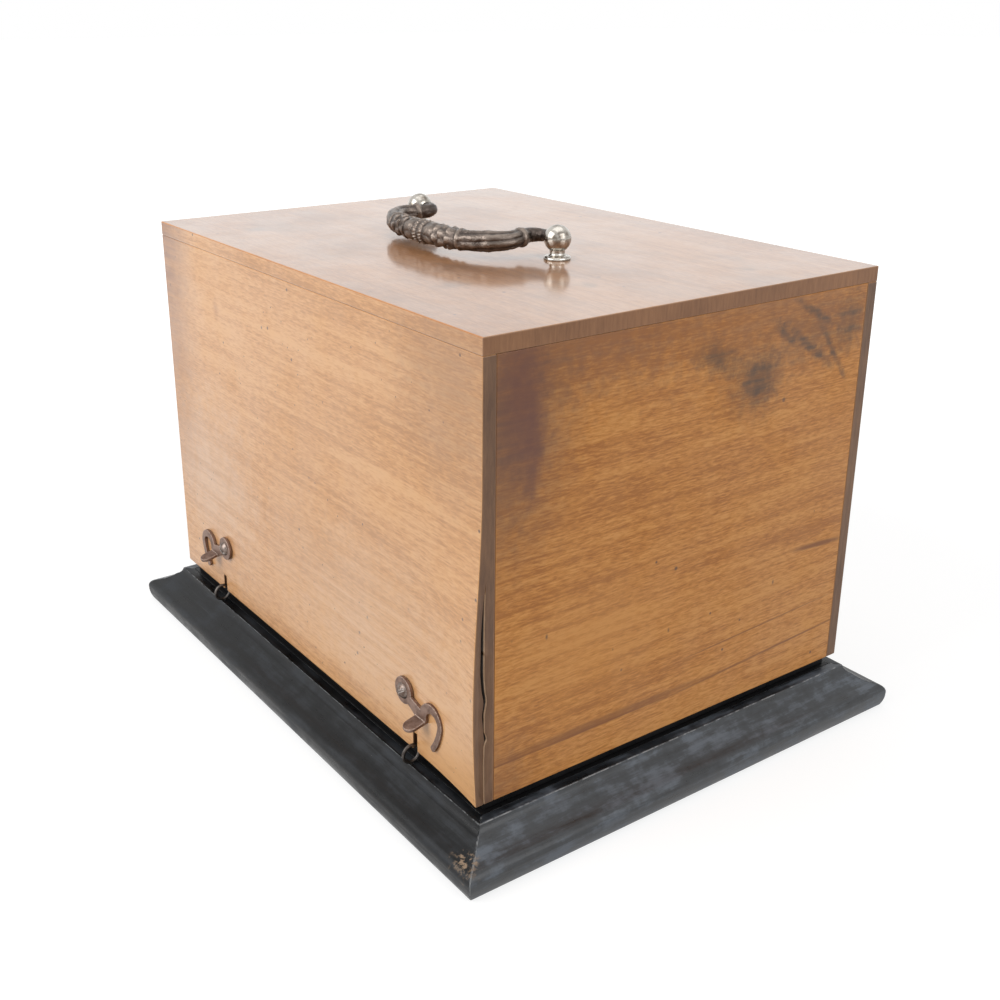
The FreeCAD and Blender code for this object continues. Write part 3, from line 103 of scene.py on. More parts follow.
class Finish:
    """A material in the making, with its shader and its colour so far."""

    def __init__(self, name, colour, **plain):
        self.material = bpy.data.materials.new(name)
        self.material.use_nodes = True
        self.tree = self.material.node_tree
        self.shader = self.tree.nodes["Principled BSDF"]
        self.place = self.tree.nodes.new("ShaderNodeTexCoord").outputs["Object"]
        self.colour = colour
        self.shader.inputs["Base Color"].default_value = colour
        for socket, value in plain.items():
            self.shader.inputs[socket.replace("_", " ")].default_value = value

    def add(self, kind, inputs, **settings):
        """A node with its settings, and with values or other nodes' outputs on its inputs."""
        made = self.tree.nodes.new("ShaderNode" + kind)
        for name, value in settings.items():
            setattr(made, name, value)
        for name, value in inputs.items():
            if isinstance(value, bpy.types.NodeSocket):
                self.tree.links.new(value, made.inputs[name])
            else:
                made.inputs[name].default_value = value
        return made

    def cloud(self, scale, detail=3.0, rough=0.5, warp=0.0):
        """Noise that repeats so often in a metre along X, Y and Z."""
        stretched = self.add("Mapping", {"Vector": self.place, "Scale": scale}).outputs["Vector"]
        inputs = {"Vector": stretched, "Scale": 1.0, "Detail": detail, "Roughness": rough, "Distortion": warp}
        return self.add("TexNoise", inputs).outputs["Fac"]

    def calc(self, operation, a, b=0.0, c=0.5):
        """The result of a Math node. Only MULTIPLY_ADD uses the third value here."""
        return self.add("Math", {0: a, 1: b, 2: c}, operation=operation).outputs[0]

    def step(self, value, low, high, most=1.0):
        """A soft step from 0 at low to most at high."""
        inputs = {"Value": value, "From Min": low, "From Max": high, "To Max": most}
        return self.add("MapRange", inputs, interpolation_type="SMOOTHSTEP").outputs["Result"]

    def blend(self, share, a, b):
        return self.add("Mix", {0: share, 6: a, 7: b}, data_type="RGBA").outputs[2]

    def cover(self, share, colour):
        """Lay a colour over the one so far, by a share from 0 to 1."""
        self.colour = self.blend(share, self.colour, colour)

    def ramp(self, value, stops):
        """Colours along a value, from a list of places and colours."""
        made = self.add("ValToRGB", {"Fac": value})
        elements = made.color_ramp.elements
        elements[0].position, elements[0].color = stops[0]
        elements[1].position, elements[1].color = stops[-1]
        for position, colour in stops[1:-1]:
            elements.new(position).color = colour
        return made.outputs["Color"]

    def attribute(self, name):
        """A number that the mesh carries."""
        return self.add("Attribute", {}, attribute_name=name).outputs["Fac"]

    def spot(self, centre, size, turn=(0, 0, 0), ragged=0.5, soft=0.45):
        """1 inside an ellipsoid with a ragged edge, 0 outside it."""
        inputs = {"Vector": self.place, "Location": centre, "Rotation": turn, "Scale": size}
        local = self.add("Mapping", inputs, vector_type="TEXTURE").outputs["Vector"]
        far = self.add("VectorMath", {0: local}, operation="LENGTH").outputs["Value"]
        torn = self.calc("MULTIPLY_ADD", self.cloud(evenly(RAGGED_EDGE), 4.0, 0.6), ragged, -ragged / 2)
        return self.step(self.calc("ADD", far, torn), 1.0, soft)

    def specks(self, often, size, keep):
        """Sparse dots: so many cells in a metre, the largest dot's share of its cell, and the share kept."""
        stretched = self.add("Mapping", {"Vector": self.place, "Scale": evenly(often)}).outputs["Vector"]
        cells = self.add("TexVoronoi", {"Vector": stretched, "Scale": 1.0})
        chance = self.add("SeparateColor", {"Color": cells.outputs["Color"]}).outputs
        shrunk = self.calc("MULTIPLY", cells.outputs["Distance"], self.calc("ADD", chance["Green"], 1.0))
        shrunk = self.calc("MULTIPLY", shrunk, self.calc("ADD", chance["Blue"], 1.0))
        dot = self.step(shrunk, size, size * SPECK_CORE)
        return self.calc("MULTIPLY", dot, self.step(chance["Red"], 1 - keep, 1 - keep + SPECK_CHOICE))

    def rough(self, value):
        self.tree.links.new(value, self.shader.inputs["Roughness"])

    def relief(self, height, depth, strength=1.0):
        bump = self.add("Bump", {"Height": height, "Distance": depth, "Strength": strength})
        self.tree.links.new(bump.outputs["Normal"], self.shader.inputs["Normal"])

    def close(self):
        """Give the colour so far to the shader."""
        self.tree.links.new(self.colour, self.shader.inputs["Base Color"])
        print("finish", self.material.name, len(self.tree.nodes), "nodes")
        return self.material


print("a colour as a node socket wants it:", tone(0.5, 0.3, 0.1))

# %% [markdown]
# The case is of a plain close-grained wood under old clear varnish. The grain could be a picture, but noise
# stretched along the board gives the same streaks at any distance: a slow drift of tone, fine streaks,
# short dark pores, and a faint figure across the grain that makes old varnish shimmer. The varnish itself
# is a coat, so that the lid mirrors the bright room at a low angle while the wood below keeps its colour.

# %% Varnished wood
DRIFT = (2.2, 17)
STREAK = (7, 210)
FLECK = (165, 980)
FIBRE = (26, 1000)
PORE = (95, 2300)
FIGURE = (62, 11)
GRAIN_SHARES = ((STREAK, 0.26), (FLECK, 0.34), (FIBRE, 0.14), (DRIFT, 0.22))
GRAIN_STOPS = (0.435, 0.5, 0.565)
PORE_DARK = 0.4
FIGURE_LIGHT = 0.12
WORN_LIGHT = 0.45
DOT_CELLS = 75
DOT_SIZE = 0.2
DOT_TONE = tone(0.12, 0.06, 0.032)
VARNISH_ROUGHNESS = 0.33
DULL_PATCHES = 0.16
GRAIN_DEPTH = 0.12 * MM


def varnished_wood(name, axis, dark, middle, light, coat=0.7, coat_roughness=0.16, shine=0.5, dots=0.05):
    """Wood with its grain along an axis, as grain_scale counts it, and with a share of dark dots."""
    wood = Finish(name, middle, Coat_Weight=coat, Coat_Roughness=coat_roughness, Specular_IOR_Level=shine)

    def grain(size, detail=3.0):
        return wood.cloud(grain_scale(axis, *size), detail, 0.58, 0.3)

    level = (1 - sum(share for size, share in GRAIN_SHARES)) / 2
    for size, share in GRAIN_SHARES:
        level = wood.calc("ADD", wood.calc("MULTIPLY", grain(size), share), level)
    wood.colour = wood.ramp(level, list(zip(GRAIN_STOPS, (dark, middle, light))))
    pore = wood.step(grain(PORE, 2.0), 0.6, 0.74, PORE_DARK)
    wood.cover(pore, dark)
    wood.cover(wood.step(grain(FIGURE, 2.0), 0.35, 0.65, FIGURE_LIGHT), light)
    wood.cover(wood.specks(DOT_CELLS, DOT_SIZE, dots), DOT_TONE)
    wood.cover(wood.calc("MULTIPLY", wood.attribute("wear"), WORN_LIGHT), light)
    dull = wood.step(wood.cloud(evenly(22), 4.0, 0.6), 0.35, 0.7, DULL_PATCHES)
    wood.rough(wood.calc("ADD", dull, VARNISH_ROUGHNESS))
    wood.relief(wood.calc("SUBTRACT", wood.calc("MULTIPLY", level, 0.8), pore), GRAIN_DEPTH, 0.35)
    wood.streaks = wood.step(grain(STREAK), 0.36, 0.6)
    return wood


def stain_and_painted_light(wood, colour, share, centre, size, streaky=0.4, **edge):
    """Tint a ragged patch of a board, more in some streaks of the grain than in others. It lays real stains,
    and also painted light and shade.
    """
    mask = wood.spot(centre, size, **edge)
    uneven = wood.calc("MULTIPLY_ADD", wood.streaks, streaky * share, (1 - streaky) * share)
    wood.cover(wood.calc("MULTIPLY", mask, uneven), colour)


print("grain from", len(GRAIN_SHARES), "layers of noise")

# %% [markdown]
# Each board has its own story, told by stains at real distances from its edges, and on the side and end
# boards by painted light and shade as well. The long side is dotted with small knocks. Pale patches on its
# lower half are a painted sheen, its far end and near upper corner are browned as painted shade, and a bright
# patch by its near foot is painted light.

# %% Finish of the long side
THROUGH = 0.5
DENT = tone(0.1, 0.055, 0.03)
# The next five tones are painted light and shade: two pale sheens, a bright foot and two brown shades.
PAINTED_SHEEN = tone(0.74, 0.53, 0.38)
PAINTED_LOW_SHEEN = tone(0.76, 0.52, 0.34)
PAINTED_LIGHT_FOOT = tone(0.78, 0.42, 0.17)
PAINTED_SHADE_CORNER = tone(0.33, 0.16, 0.07)
PAINTED_SHADE_END = tone(0.32, 0.145, 0.07)
RED_SMEAR = tone(0.36, 0.14, 0.07)


def side_finish():
    wood = varnished_wood("pale_side_varnish", 0, tone(0.5, 0.226, 0.07), tone(0.64, 0.31, 0.11),
                          tone(0.74, 0.4, 0.165), 0.55, 0.22, dots=0.6)
    rear, front, foot, top = side_low.x, side_high.x, side_low.z, side_high.z

    def mark(colour, share, x, z, wide, high, ragged):
        """A patch at a place on the board, with half its width and half its height in millimetres: a stained
        patch, or painted light or shade.
        """
        size = (wide * MM, THROUGH, high * MM)
        stain_and_painted_light(wood, colour, share, (x, side_low.y, z), size, ragged=ragged, soft=0.0)

    # Painted sheen low down, painted shade at the near upper corner and the far end, painted light by the
    # near foot. The red smear is real.
    mark(PAINTED_SHEEN, 0.5, rear + 55 * MM, foot + 80 * MM, 95, 95, 1.0)
    mark(PAINTED_SHADE_CORNER, 0.6, front - 25 * MM, top - 20 * MM, 75, 80, 0.9)
    mark(RED_SMEAR, 0.5, rear + 80 * MM, top - 36 * MM, 6, 10, 0.9)
    mark(PAINTED_LOW_SHEEN, 0.5, front - 110 * MM, foot + 62 * MM, 170, 75, 0.8)
    mark(PAINTED_SHADE_END, 1.0, rear, top, 60, 210, 0.5)
    mark(PAINTED_LIGHT_FOOT, 0.9, front - 18 * MM, foot + 8 * MM, 75, 50, 0.5)
    knocks = wood.specks(150, 0.18, 0.6)
    gathered = wood.step(wood.cloud(evenly(9)), 0.45, 0.6)
    wood.cover(wood.calc("MULTIPLY", knocks, gathered), DENT)
    return wood.close()


side_varnish = side_finish()

# %% [markdown]
# The end board is deeper in colour, with a reddish run at its upper left, smoky marks at its upper right
# and long dark grain lines near the foot. Darker patches at its top, its upper left, its left corner and its
# lower left are painted shade. Its marks are placed from its middle line and from the lid's top.

# %% Finish of the end board
RED_RUN = tone(0.14, 0.05, 0.034)
SMOKE = tone(0.075, 0.042, 0.026)
GRAIN_LINE = tone(0.25, 0.088, 0.02)
AMBER = tone(0.68, 0.3, 0.075)
FOOT_SHADE = tone(0.22, 0.09, 0.035)
TOP_SHADE = tone(0.26, 0.11, 0.045)
LEFT_SHADE = tone(0.22, 0.09, 0.038)
CORNER_SHADE = tone(0.17, 0.078, 0.04)


def end_finish():
    wood = varnished_wood("amber_end_varnish", 1, tone(0.39, 0.138, 0.022), tone(0.55, 0.22, 0.044),
                          tone(0.67, 0.305, 0.08), 0.2, 0.26, 0.3)
    face, top = end_high.x, lid_high.z

    def mark(colour, share, across, down, wide, high, turn=0.0, ragged=1.0, soft=0.0, streaky=0.4):
        """A patch at a distance from the board's middle line and from the lid's top, in millimetres: a
        stained mark, or painted shade.
        """
        place = (face, across * MM, top - down * MM)
        stain_and_painted_light(wood, colour, share, place, (THROUGH, wide * MM, high * MM), streaky,
              turn=(turn, 0, 0), ragged=ragged, soft=soft)

    mark(AMBER, 0.6, -60, 180, 80, 50)
    # The next four are painted shade: at the lower left, the top, the upper left and the left corner.
    mark(FOOT_SHADE, 0.7, -134, 250, 50, 55)
    mark(TOP_SHADE, 0.75, 60, 0, 150, 72)
    mark(LEFT_SHADE, 0.85, -70, 0, 110, 60)
    mark(CORNER_SHADE, 1.0, -130, 42, 66, 110, ragged=0.5, streaky=0.2)
    mark(RED_RUN, 0.75, -116, 34, 22, 74, ragged=0.5, streaky=0.1)
    mark(RED_RUN, 0.7, -109, 58, 9, 42, ragged=0.5, streaky=0.1)
    mark(SMOKE, 0.95, 46, 53, 21, 19)
    mark(SMOKE, 0.6, 44, 52, 36, 32)
    mark(SMOKE, 0.85, 12, 34, 24, 13, turn=-0.3)
    for across, down, long, thick, turn in (
            (66, 30, 20, 5, -0.7), (84, 38, 42, 5, -0.62), (104, 42, 34, 4, -0.95), (92, 22, 30, 4, -0.5)):
        mark(SMOKE, 0.9, across, down, long, thick, turn, 1.3)
    mark(SMOKE, 0.8, 120, 30, 17, 24)
    mark(SMOKE, 0.45, 92, 32, 50, 26)
    for across, down, long, thick, turn in (
            (-90, 230, 130, 1.1, 0.0), (70, 226.5, 120, 1.1, 0.054), (-60, 228, 120, 3.5, 0.0),
            (110, 166, 32, 2.6, -0.06), (62, 207, 90, 0.8, 0.045)):
        mark(GRAIN_LINE, 1.0, across, down, long, thick, turn, 0.35, 0.3)
    for across, down, size in ((-98, 164, 1.8), (73, 181, 2.0), (-11, 187, 1.6), (-52, 186, 1.0)):
        mark(DENT, 0.8, across, down, size * 0.7, size * 1.3, ragged=0.5, soft=0.1)
    return wood.close()


end_varnish = end_finish()

# %% [markdown]
# The lid is the glossiest board. Darker clouds are painted on it where its glare is duller, as painted
# reflection, and it has a few dark marks and is darker by the handle's feet. The two boards on the far side
# are plainer and browner.

# %% Finishes of the lid and the far boards
LID_DULL_GLARE = tone(0.19, 0.088, 0.042)
LID_MARK = tone(0.12, 0.06, 0.03)


def lid_finish():
    wood = varnished_wood("glossy_lid_varnish", 0, tone(0.31, 0.138, 0.053), tone(0.39, 0.18, 0.071),
                          tone(0.46, 0.225, 0.095), 1.0, 0.11, dots=0.3)
    # Painted reflection: darker clouds where the lid's glare is duller.
    dull_glare = wood.step(wood.cloud((13, 20, 20), 4.0, 0.6), 0.46, 0.68, 0.55)
    wood.cover(dull_glare, LID_DULL_GLARE)
    for x, y, wide in ((0.09, -0.09, 13), (0.13, -0.03, 9), (-0.12, -0.1, 12), (0.15, 0.07, 8)):
        place = (x, y, lid_high.z)
        stain_and_painted_light(wood, LID_MARK, 0.6, place, (wide * MM, wide * MM, THROUGH), ragged=1.2, soft=0.0)
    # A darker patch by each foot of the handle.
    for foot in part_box("handle_posts"):
        darker_by_foot = (foot.x - math.copysign(12 * MM, foot.x), 2 * MM, lid_high.z)
        stain_and_painted_light(wood, SMOKE, 0.9, darker_by_foot, (15 * MM, 13 * MM, THROUGH), ragged=0.8, soft=0.2)
    return wood.close()


lid_varnish = lid_finish()
far_side = varnished_wood("warm_side_varnish", 0, tone(0.37, 0.15, 0.042), tone(0.49, 0.218, 0.072),
                          tone(0.58, 0.285, 0.11), 0.4, 0.22)
stain_and_painted_light(far_side, SMOKE, 0.6, (-0.06, side_high.y, 0.21), (30 * MM, THROUGH, 14 * MM), ragged=1.2, soft=0.0)
far_side_varnish = far_side.close()
far_end = varnished_wood("brown_end_varnish", 1, tone(0.33, 0.125, 0.032), tone(0.45, 0.185, 0.055),
                         tone(0.54, 0.245, 0.085), 0.3, 0.22)
stain_and_painted_light(far_end, RED_RUN, 0.6, (end_low.x, 0.07, 0.2), (THROUGH, 34 * MM, 11 * MM), ragged=1.2, soft=0.0)
far_end_varnish = far_end.close()

# %% [markdown]
# Sawn end grain soaks up varnish, so it is darker, with pores in place of streaks. The inside was never
# varnished. In the crack the wood is torn: pale at its mouth, and painted black farther in as painted shade.
# The rims of the lid are rubbed to a warmer tone.

# %% Finishes of sawn, bare and torn wood
PORE_TONE = tone(0.05, 0.024, 0.012)
SAWN_EDGE = tone(0.36, 0.19, 0.095)
CRACK_SHADE = tone(0.008, 0.005, 0.003)
CRACK_SHADE_FROM = 0.7 * MM
CRACK_SHADE_FULL = 1.3 * MM


def end_grain_finish(name, dark, light):
    wood = Finish(name, dark, Roughness=0.5, Coat_Weight=0.2, Coat_Roughness=0.3, Specular_IOR_Level=0.35)
    level = wood.cloud((900, 620, 90), 4.0, 0.6)
    slow = wood.cloud((900, 25, 25), 2.0, 0.5)
    mixed = wood.calc("MULTIPLY", wood.calc("ADD", level, slow), 0.5)
    wood.colour = wood.ramp(mixed, [(0.36, dark), (0.64, light)])
    wood.cover(wood.specks(1100, 0.25, 0.2), PORE_TONE)
    wood.cover(wood.calc("MULTIPLY", wood.attribute("wear"), 0.5), SAWN_EDGE)
    wood.relief(level, 0.2 * MM, 0.5)
    return wood.close()


end_grain = end_grain_finish("dark_end_grain", tone(0.115, 0.055, 0.027), tone(0.215, 0.112, 0.056))
lid_end_grain = end_grain_finish("lid_end_grain", tone(0.2, 0.088, 0.036), tone(0.33, 0.155, 0.068))
bare_wood = varnished_wood("bare_inside_wood", 0, tone(0.36, 0.205, 0.105), tone(0.46, 0.29, 0.165),
                           tone(0.54, 0.36, 0.215), 0.0).close()
torn = varnished_wood("torn_wood", 2, tone(0.42, 0.25, 0.13), tone(0.58, 0.38, 0.23),
                      tone(0.68, 0.48, 0.32), 0.0, dots=0.0)
along = torn.add("SeparateXYZ", {"Vector": torn.place}).outputs["X"]
# Painted shade: farther than about a millimetre into the crack, the torn wood is painted black.
torn.cover(torn.step(along, side_high.x - CRACK_SHADE_FROM, side_high.x - CRACK_SHADE_FULL), CRACK_SHADE)
torn_wood = torn.close()
lid_arris = varnished_wood("rubbed_lid_edge", 0, tone(0.4, 0.14, 0.03), tone(0.5, 0.185, 0.04),
                           tone(0.58, 0.24, 0.06), 0.4, 0.2).close()

# %% [markdown]
# The base is wood stained black and waxed to a satin shine. Handling has left hair scratches, pale flecks
# and bright worn edges, and one corner is knocked down to the brown wood. Worn edges could be painted by
# hand, but here each mesh says which of its faces are eased edges, through an attribute called wear.

# %% Black stained wood
BLACK_STOPS = ((0.41, 0.005), (0.5, 0.014), (0.6, 0.052))
SHADE_BLACK = tone(0.004, 0.004, 0.0045)
SCRATCHED = tone(0.11, 0.115, 0.12)
PALE_FLECK = tone(0.42, 0.42, 0.4)
GREY_FLECK = tone(0.22, 0.22, 0.21)
WORN_EDGE = tone(0.22, 0.225, 0.23)
BROWN_WOOD = tone(0.26, 0.185, 0.125)
SATIN_ROUGHNESS = 0.27


def black_wood_finish(name, axis, rubbed, grey, shine):
    """Black-stained wood on a strip along X or Y, 0 or 1: how far edges are rubbed, how grey it is and how
    shiny. The less it is rubbed, the more painted shade black lies over it.
    """
    wood = Finish(name, tone(0.014, 0.0155, 0.018), Specular_IOR_Level=shine)
    scratch = wood.cloud(grain_scale(axis, 9, 700), 5.0, 0.7)
    brushed = wood.cloud(grain_scale(axis, 22, 190), 4.0, 0.65)
    cloudy = wood.cloud(evenly(46), 5.0, 0.65)
    patch = wood.calc("MULTIPLY", wood.calc("ADD", cloudy, brushed), 0.5)
    wood.colour = wood.ramp(patch, [(place, tone(0.86 * value * grey, value * grey, 1.2 * value * grey))
                                    for place, value in BLACK_STOPS])
    wood.cover(wood.step(scratch, 0.6, 0.8, 0.3), SCRATCHED)
    wood.cover(wood.specks(170, 0.075, 0.1), PALE_FLECK)
    wood.cover(wood.specks(420, 0.12, 0.05), GREY_FLECK)
    # Painted shade: the blackest tone by 1 - rubbed, over all of the ledge and platform in the cover's
    # shadow, and a tenth over the side mouldings.
    wood.cover(1.0 - rubbed, SHADE_BLACK)
    chip = wood.step(wood.cloud(evenly(160), 4.0, 0.7), 0.42, 0.6, rubbed)
    wood.cover(wood.calc("MULTIPLY", wood.attribute("wear"), chip), WORN_EDGE)
    near = (cad_high.x - 12 * MM, cad_low.y + 6 * MM, 15 * MM)
    knock = wood.spot(near, (11 * MM, 8 * MM, 9 * MM), ragged=1.6, soft=0.4)
    torn = wood.step(wood.cloud(evenly(330), 4.0, 0.65), 0.46, 0.58)
    wood.cover(wood.calc("MULTIPLY", knock, torn), BROWN_WOOD)
    satin = wood.step(patch, 0.38, 0.64, 0.26)
    wood.rough(wood.calc("ADD", satin, SATIN_ROUGHNESS))
    wood.relief(wood.calc("ADD", wood.calc("MULTIPLY", scratch, 0.4), patch), 0.5 * MM, 0.5)
    return wood.close()


black_along_x = black_wood_finish("black_stain_along_x", 0, 0.9, 0.45, 0.25)
black_along_y = black_wood_finish("black_stain_along_y", 1, 1.0, 1.9, 0.6)
# The ledge and the platform get the full painted shade black, as they lie in the cover's shadow.
black_platform = black_wood_finish("black_stain_platform", 0, 0.0, 0.5, 0.3)

# %% [markdown]
# The metals share one recipe: a tone, clouds of a tarnished tone, and a brighter tone where edges are rubbed.
# What differs is how polished they are and how deep the tarnished tone lies, so one function makes them all.
# On the nickel, its darkened tone and dark clouds are partly painted reflection.


# %% Metals
def metal_finish(name, colour, tarnish_and_dark_reflection, rubbed, roughness, metallic=1.0, cloud=90, depth=0.08):
    """A metal with clouds of a tarnished tone, so many in a metre, and a relief of a depth in millimetres."""
    metal = Finish(name, colour, Metallic=metallic, Roughness=roughness)
    patch = metal.cloud(evenly(cloud), 5.0, 0.65)
    fine = metal.cloud(evenly(cloud * 9), 3.0, 0.6)
    metal.colour = metal.ramp(patch, [(0.36, tarnish_and_dark_reflection), (0.58, colour)])
    worn = metal.calc("MULTIPLY", metal.attribute("wear"), metal.step(fine, 0.35, 0.6))
    metal.cover(worn, rubbed)
    uneven = metal.calc("MULTIPLY_ADD", patch, -0.3 * roughness, 1.15 * roughness)
    metal.rough(metal.calc("ADD", uneven, metal.calc("MULTIPLY", fine, 0.25 * roughness)))
    metal.relief(metal.calc("ADD", fine, patch), depth * MM, 0.5)
    return metal.close()


browned_iron = metal_finish("browned_iron", tone(0.27, 0.18, 0.142), tone(0.14, 0.085, 0.064),
                            tone(0.38, 0.29, 0.245), 0.44, 0.85, 160, 0.15)
worn_screw = metal_finish("worn_screw_iron", tone(0.26, 0.21, 0.185), tone(0.1, 0.066, 0.05),
                          tone(0.66, 0.62, 0.58), 0.32, 1.0, 300)
dark_wire = metal_finish("dark_eye_wire", tone(0.13, 0.115, 0.105), tone(0.05, 0.042, 0.038),
                         tone(0.5, 0.48, 0.46), 0.36, 0.9, 220)
# The nickel's darkened tone and dark clouds are partly tarnished metal and partly painted reflection of dark
# things that the balls mirror.
nickel = metal_finish("polished_nickel", tone(0.56, 0.53, 0.48), tone(0.2, 0.17, 0.14),
                      tone(0.7, 0.67, 0.62), 0.14, 1.0, 170, 0.05)
brass = metal_finish("old_lacquered_brass", tone(0.66, 0.43, 0.16), tone(0.42, 0.245, 0.08),
                     tone(0.8, 0.6, 0.29), 0.27, 1.0, 60, 0.04)
lamp_brass = metal_finish("dull_lamp_brass", tone(0.5, 0.33, 0.13), tone(0.26, 0.16, 0.07),
                          tone(0.68, 0.5, 0.25), 0.38, 1.0, 75, 0.06)
silver = metal_finish("silvered_dish", tone(0.86, 0.85, 0.83), tone(0.62, 0.57, 0.48),
                      tone(0.9, 0.89, 0.87), 0.09, 1.0, 50, 0.01)


def cast_finish():
    """Bronzed cast iron: dark in the carving and rubbed on its ridges, which the mesh says as relief."""
    cast = Finish("bronzed_casting", tone(0.11, 0.08, 0.065), Metallic=0.85, Roughness=0.4)
    grain = cast.cloud(evenly(900), 3.0, 0.6)
    patch = cast.cloud(evenly(110), 4.0, 0.6)
    height = cast.calc("ADD", cast.attribute("relief"), cast.calc("MULTIPLY", patch, 0.35))
    cast.colour = cast.ramp(height, [(0.3, tone(0.012, 0.009, 0.0078)), (0.65, tone(0.078, 0.06, 0.051)),
                                     (1.0, tone(0.22, 0.178, 0.15))])
    uneven = cast.calc("MULTIPLY", cast.calc("ADD", grain, patch), 0.33)
    cast.rough(uneven)
    cast.relief(cast.calc("ADD", grain, patch), 0.3 * MM, 0.6)
    return cast.close()


def japan_finish():
    """Black japan baked on sheet iron: dull under a thin gloss, a little rippled, chipped along its edges."""
    japan = Finish("black_japan", tone(0.011, 0.0105, 0.0105), Roughness=0.26, Coat_Weight=0.4,
                   Coat_Roughness=0.1)
    heat = japan.cloud((16, 16, 22), 4.0, 0.6)
    ripple = japan.cloud(evenly(260), 2.0, 0.5)
    japan.colour = japan.ramp(heat, [(0.35, tone(0.009, 0.0088, 0.009)), (0.7, tone(0.03, 0.022, 0.017))])
    chip = japan.step(japan.cloud(evenly(210), 4.0, 0.7), 0.5, 0.58)
    japan.cover(japan.calc("MULTIPLY", japan.attribute("wear"), chip), tone(0.24, 0.2, 0.17))
    japan.cover(japan.specks(170, 0.07, 0.07), tone(0.22, 0.15, 0.1))
    japan.rough(japan.calc("MULTIPLY_ADD", heat, 0.3, 0.5))
    japan.relief(ripple, 0.1 * MM, 0.5)
    return japan.close()


cast_iron = cast_finish()
japan = japan_finish()

# %% [markdown]
# Glass, wick and slide frame are the lantern's few other stuffs. Glass needs real thickness to bend light,
# and the solids have it, so a transmissive shader is enough. The wick is woven cotton, charred at its top.


# %% Glass, cotton and mahogany
def glass_finish(name, tint, roughness):
    glass = Finish(name, tint, Roughness=roughness, Transmission_Weight=1.0, IOR=1.5)
    film = glass.step(glass.cloud(evenly(30), 4.0, 0.6), 0.4, 0.7, 0.05)
    glass.rough(glass.calc("ADD", film, roughness))
    glass.colour = glass.blend(film, tint, tone(0.8, 0.78, 0.7))
    return glass.close()


def cotton_finish():
    cotton = Finish("woven_cotton", tone(0.72, 0.66, 0.54), Roughness=0.95, Sheen_Weight=0.3)
    ribs = cotton.add("TexWave", {"Vector": cotton.place, "Scale": 190.0, "Distortion": 1.5},
                      bands_direction="Y")
    picks = cotton.add("TexWave", {"Vector": cotton.place, "Scale": 230.0, "Distortion": 1.0},
                       bands_direction="Z")
    weave = cotton.calc("MULTIPLY", ribs.outputs["Fac"], picks.outputs["Fac"])
    cotton.colour = cotton.ramp(weave, [(0.1, tone(0.42, 0.36, 0.27)), (0.7, tone(0.78, 0.72, 0.6))])
    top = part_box("wick")[1]
    char = cotton.spot((top.x, 0, top.z), (THROUGH, THROUGH, 5 * MM), ragged=0.8, soft=0.3)
    cotton.cover(char, tone(0.015, 0.013, 0.012))
    cotton.relief(weave, 0.3 * MM, 0.8)
    return cotton.close()


clear_glass = glass_finish("clear_lens_glass", tone(0.96, 0.985, 0.97), 0.0)
smoky_glass = glass_finish("smoky_chimney_glass", tone(0.93, 0.95, 0.92), 0.02)
cotton = cotton_finish()
mahogany = varnished_wood("carrier_mahogany", 1, tone(0.16, 0.045, 0.02), tone(0.27, 0.085, 0.035),
                          tone(0.36, 0.13, 0.055), 0.4, 0.2).close()

# %% [markdown]
# Real edges are never knife sharp: a thin rounded edge catches a line of light. A CAD solid can lend its
# shape for that. Its triangles are merged, flat faces are joined, and each sharp edge gets a small bevel.
# The bevel's faces are marked as wear. A Bevel modifier would do it too, but then the faces couldn't be
# told apart.

# %% Copy a solid with eased edges
SHARP = math.radians(28)
SMOOTH = math.radians(20)
FLAT = math.radians(0.4)
WELD = 1e-6


def eased(node, width):
    """A bmesh of a CAD node with its edges eased, and its eased faces marked in the wear layer."""
    mesh = bmesh.new()
    mesh.from_mesh(parts[node].data)
    bmesh.ops.remove_doubles(mesh, verts=mesh.verts, dist=WELD)
    bmesh.ops.dissolve_limit(mesh, angle_limit=FLAT, verts=mesh.verts, edges=mesh.edges)
    wear = mesh.faces.layers.float.new("wear")
    sharp = [edge for edge in mesh.edges if edge.is_manifold and edge.calc_face_angle() > SHARP]
    made = bmesh.ops.bevel(mesh, geom=sharp, offset=width, offset_type="OFFSET", segments=2,
                           profile=0.5, affect="EDGES", clamp_overlap=False, material=-1)
    for face in made["faces"]:
        face[wear] = 1.0
    return mesh


def new_object(name, data):
    """An object in the scene, at the origin."""
    made = bpy.data.objects.new(name, data)
    bpy.context.scene.collection.objects.link(made)
    return made


def settle(mesh, name, body, *finishes, stands_for=(), smooth=SMOOTH):
    """Turn a bmesh into a piece of the object that rides on a body and replaces its CAD nodes."""
    for face in mesh.faces:
        face.smooth = True
    data = bpy.data.meshes.new(name)
    mesh.to_mesh(data)
    mesh.free()
    for finish in finishes:
        data.materials.append(finish)
    data.set_sharp_from_angle(angle=smooth)
    piece = new_object(name, data)
    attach(piece, body)
    if stands_for:
        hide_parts(*stands_for)
    print("piece", name, len(data.polygons), "faces on", body)
    return piece


def dress(node, name, body, finish, width):
    """A CAD node's shape with eased edges and one finish."""
    return settle(eased(node, width), name, body, finish, stands_for=[node])


print("edges over", round(math.degrees(SHARP)), "degrees are eased")

# %% [markdown]
# The cover is five boards nailed and glued: the lid lies on the sides, and the ends are let in between
# them. So the sawn ends of the side boards show as dark strips at the corners. Each board is an eased copy,
# and its faces choose their finish by the way they look: varnish outside, end grain at the saw cuts, bare
# wood inside.

# %% Cover boards
BOARD_EASE = 0.55 * MM
SKIN = 0.3 * MM
FACING = 0.7
SQUARE = 0.95
LEANING = 0.2


def choose_faces(mesh, pick):
    """Set each face's material by its normal and centre."""
    for face in mesh.faces:
        face.material_index = pick(face.normal, face.calc_center_median())


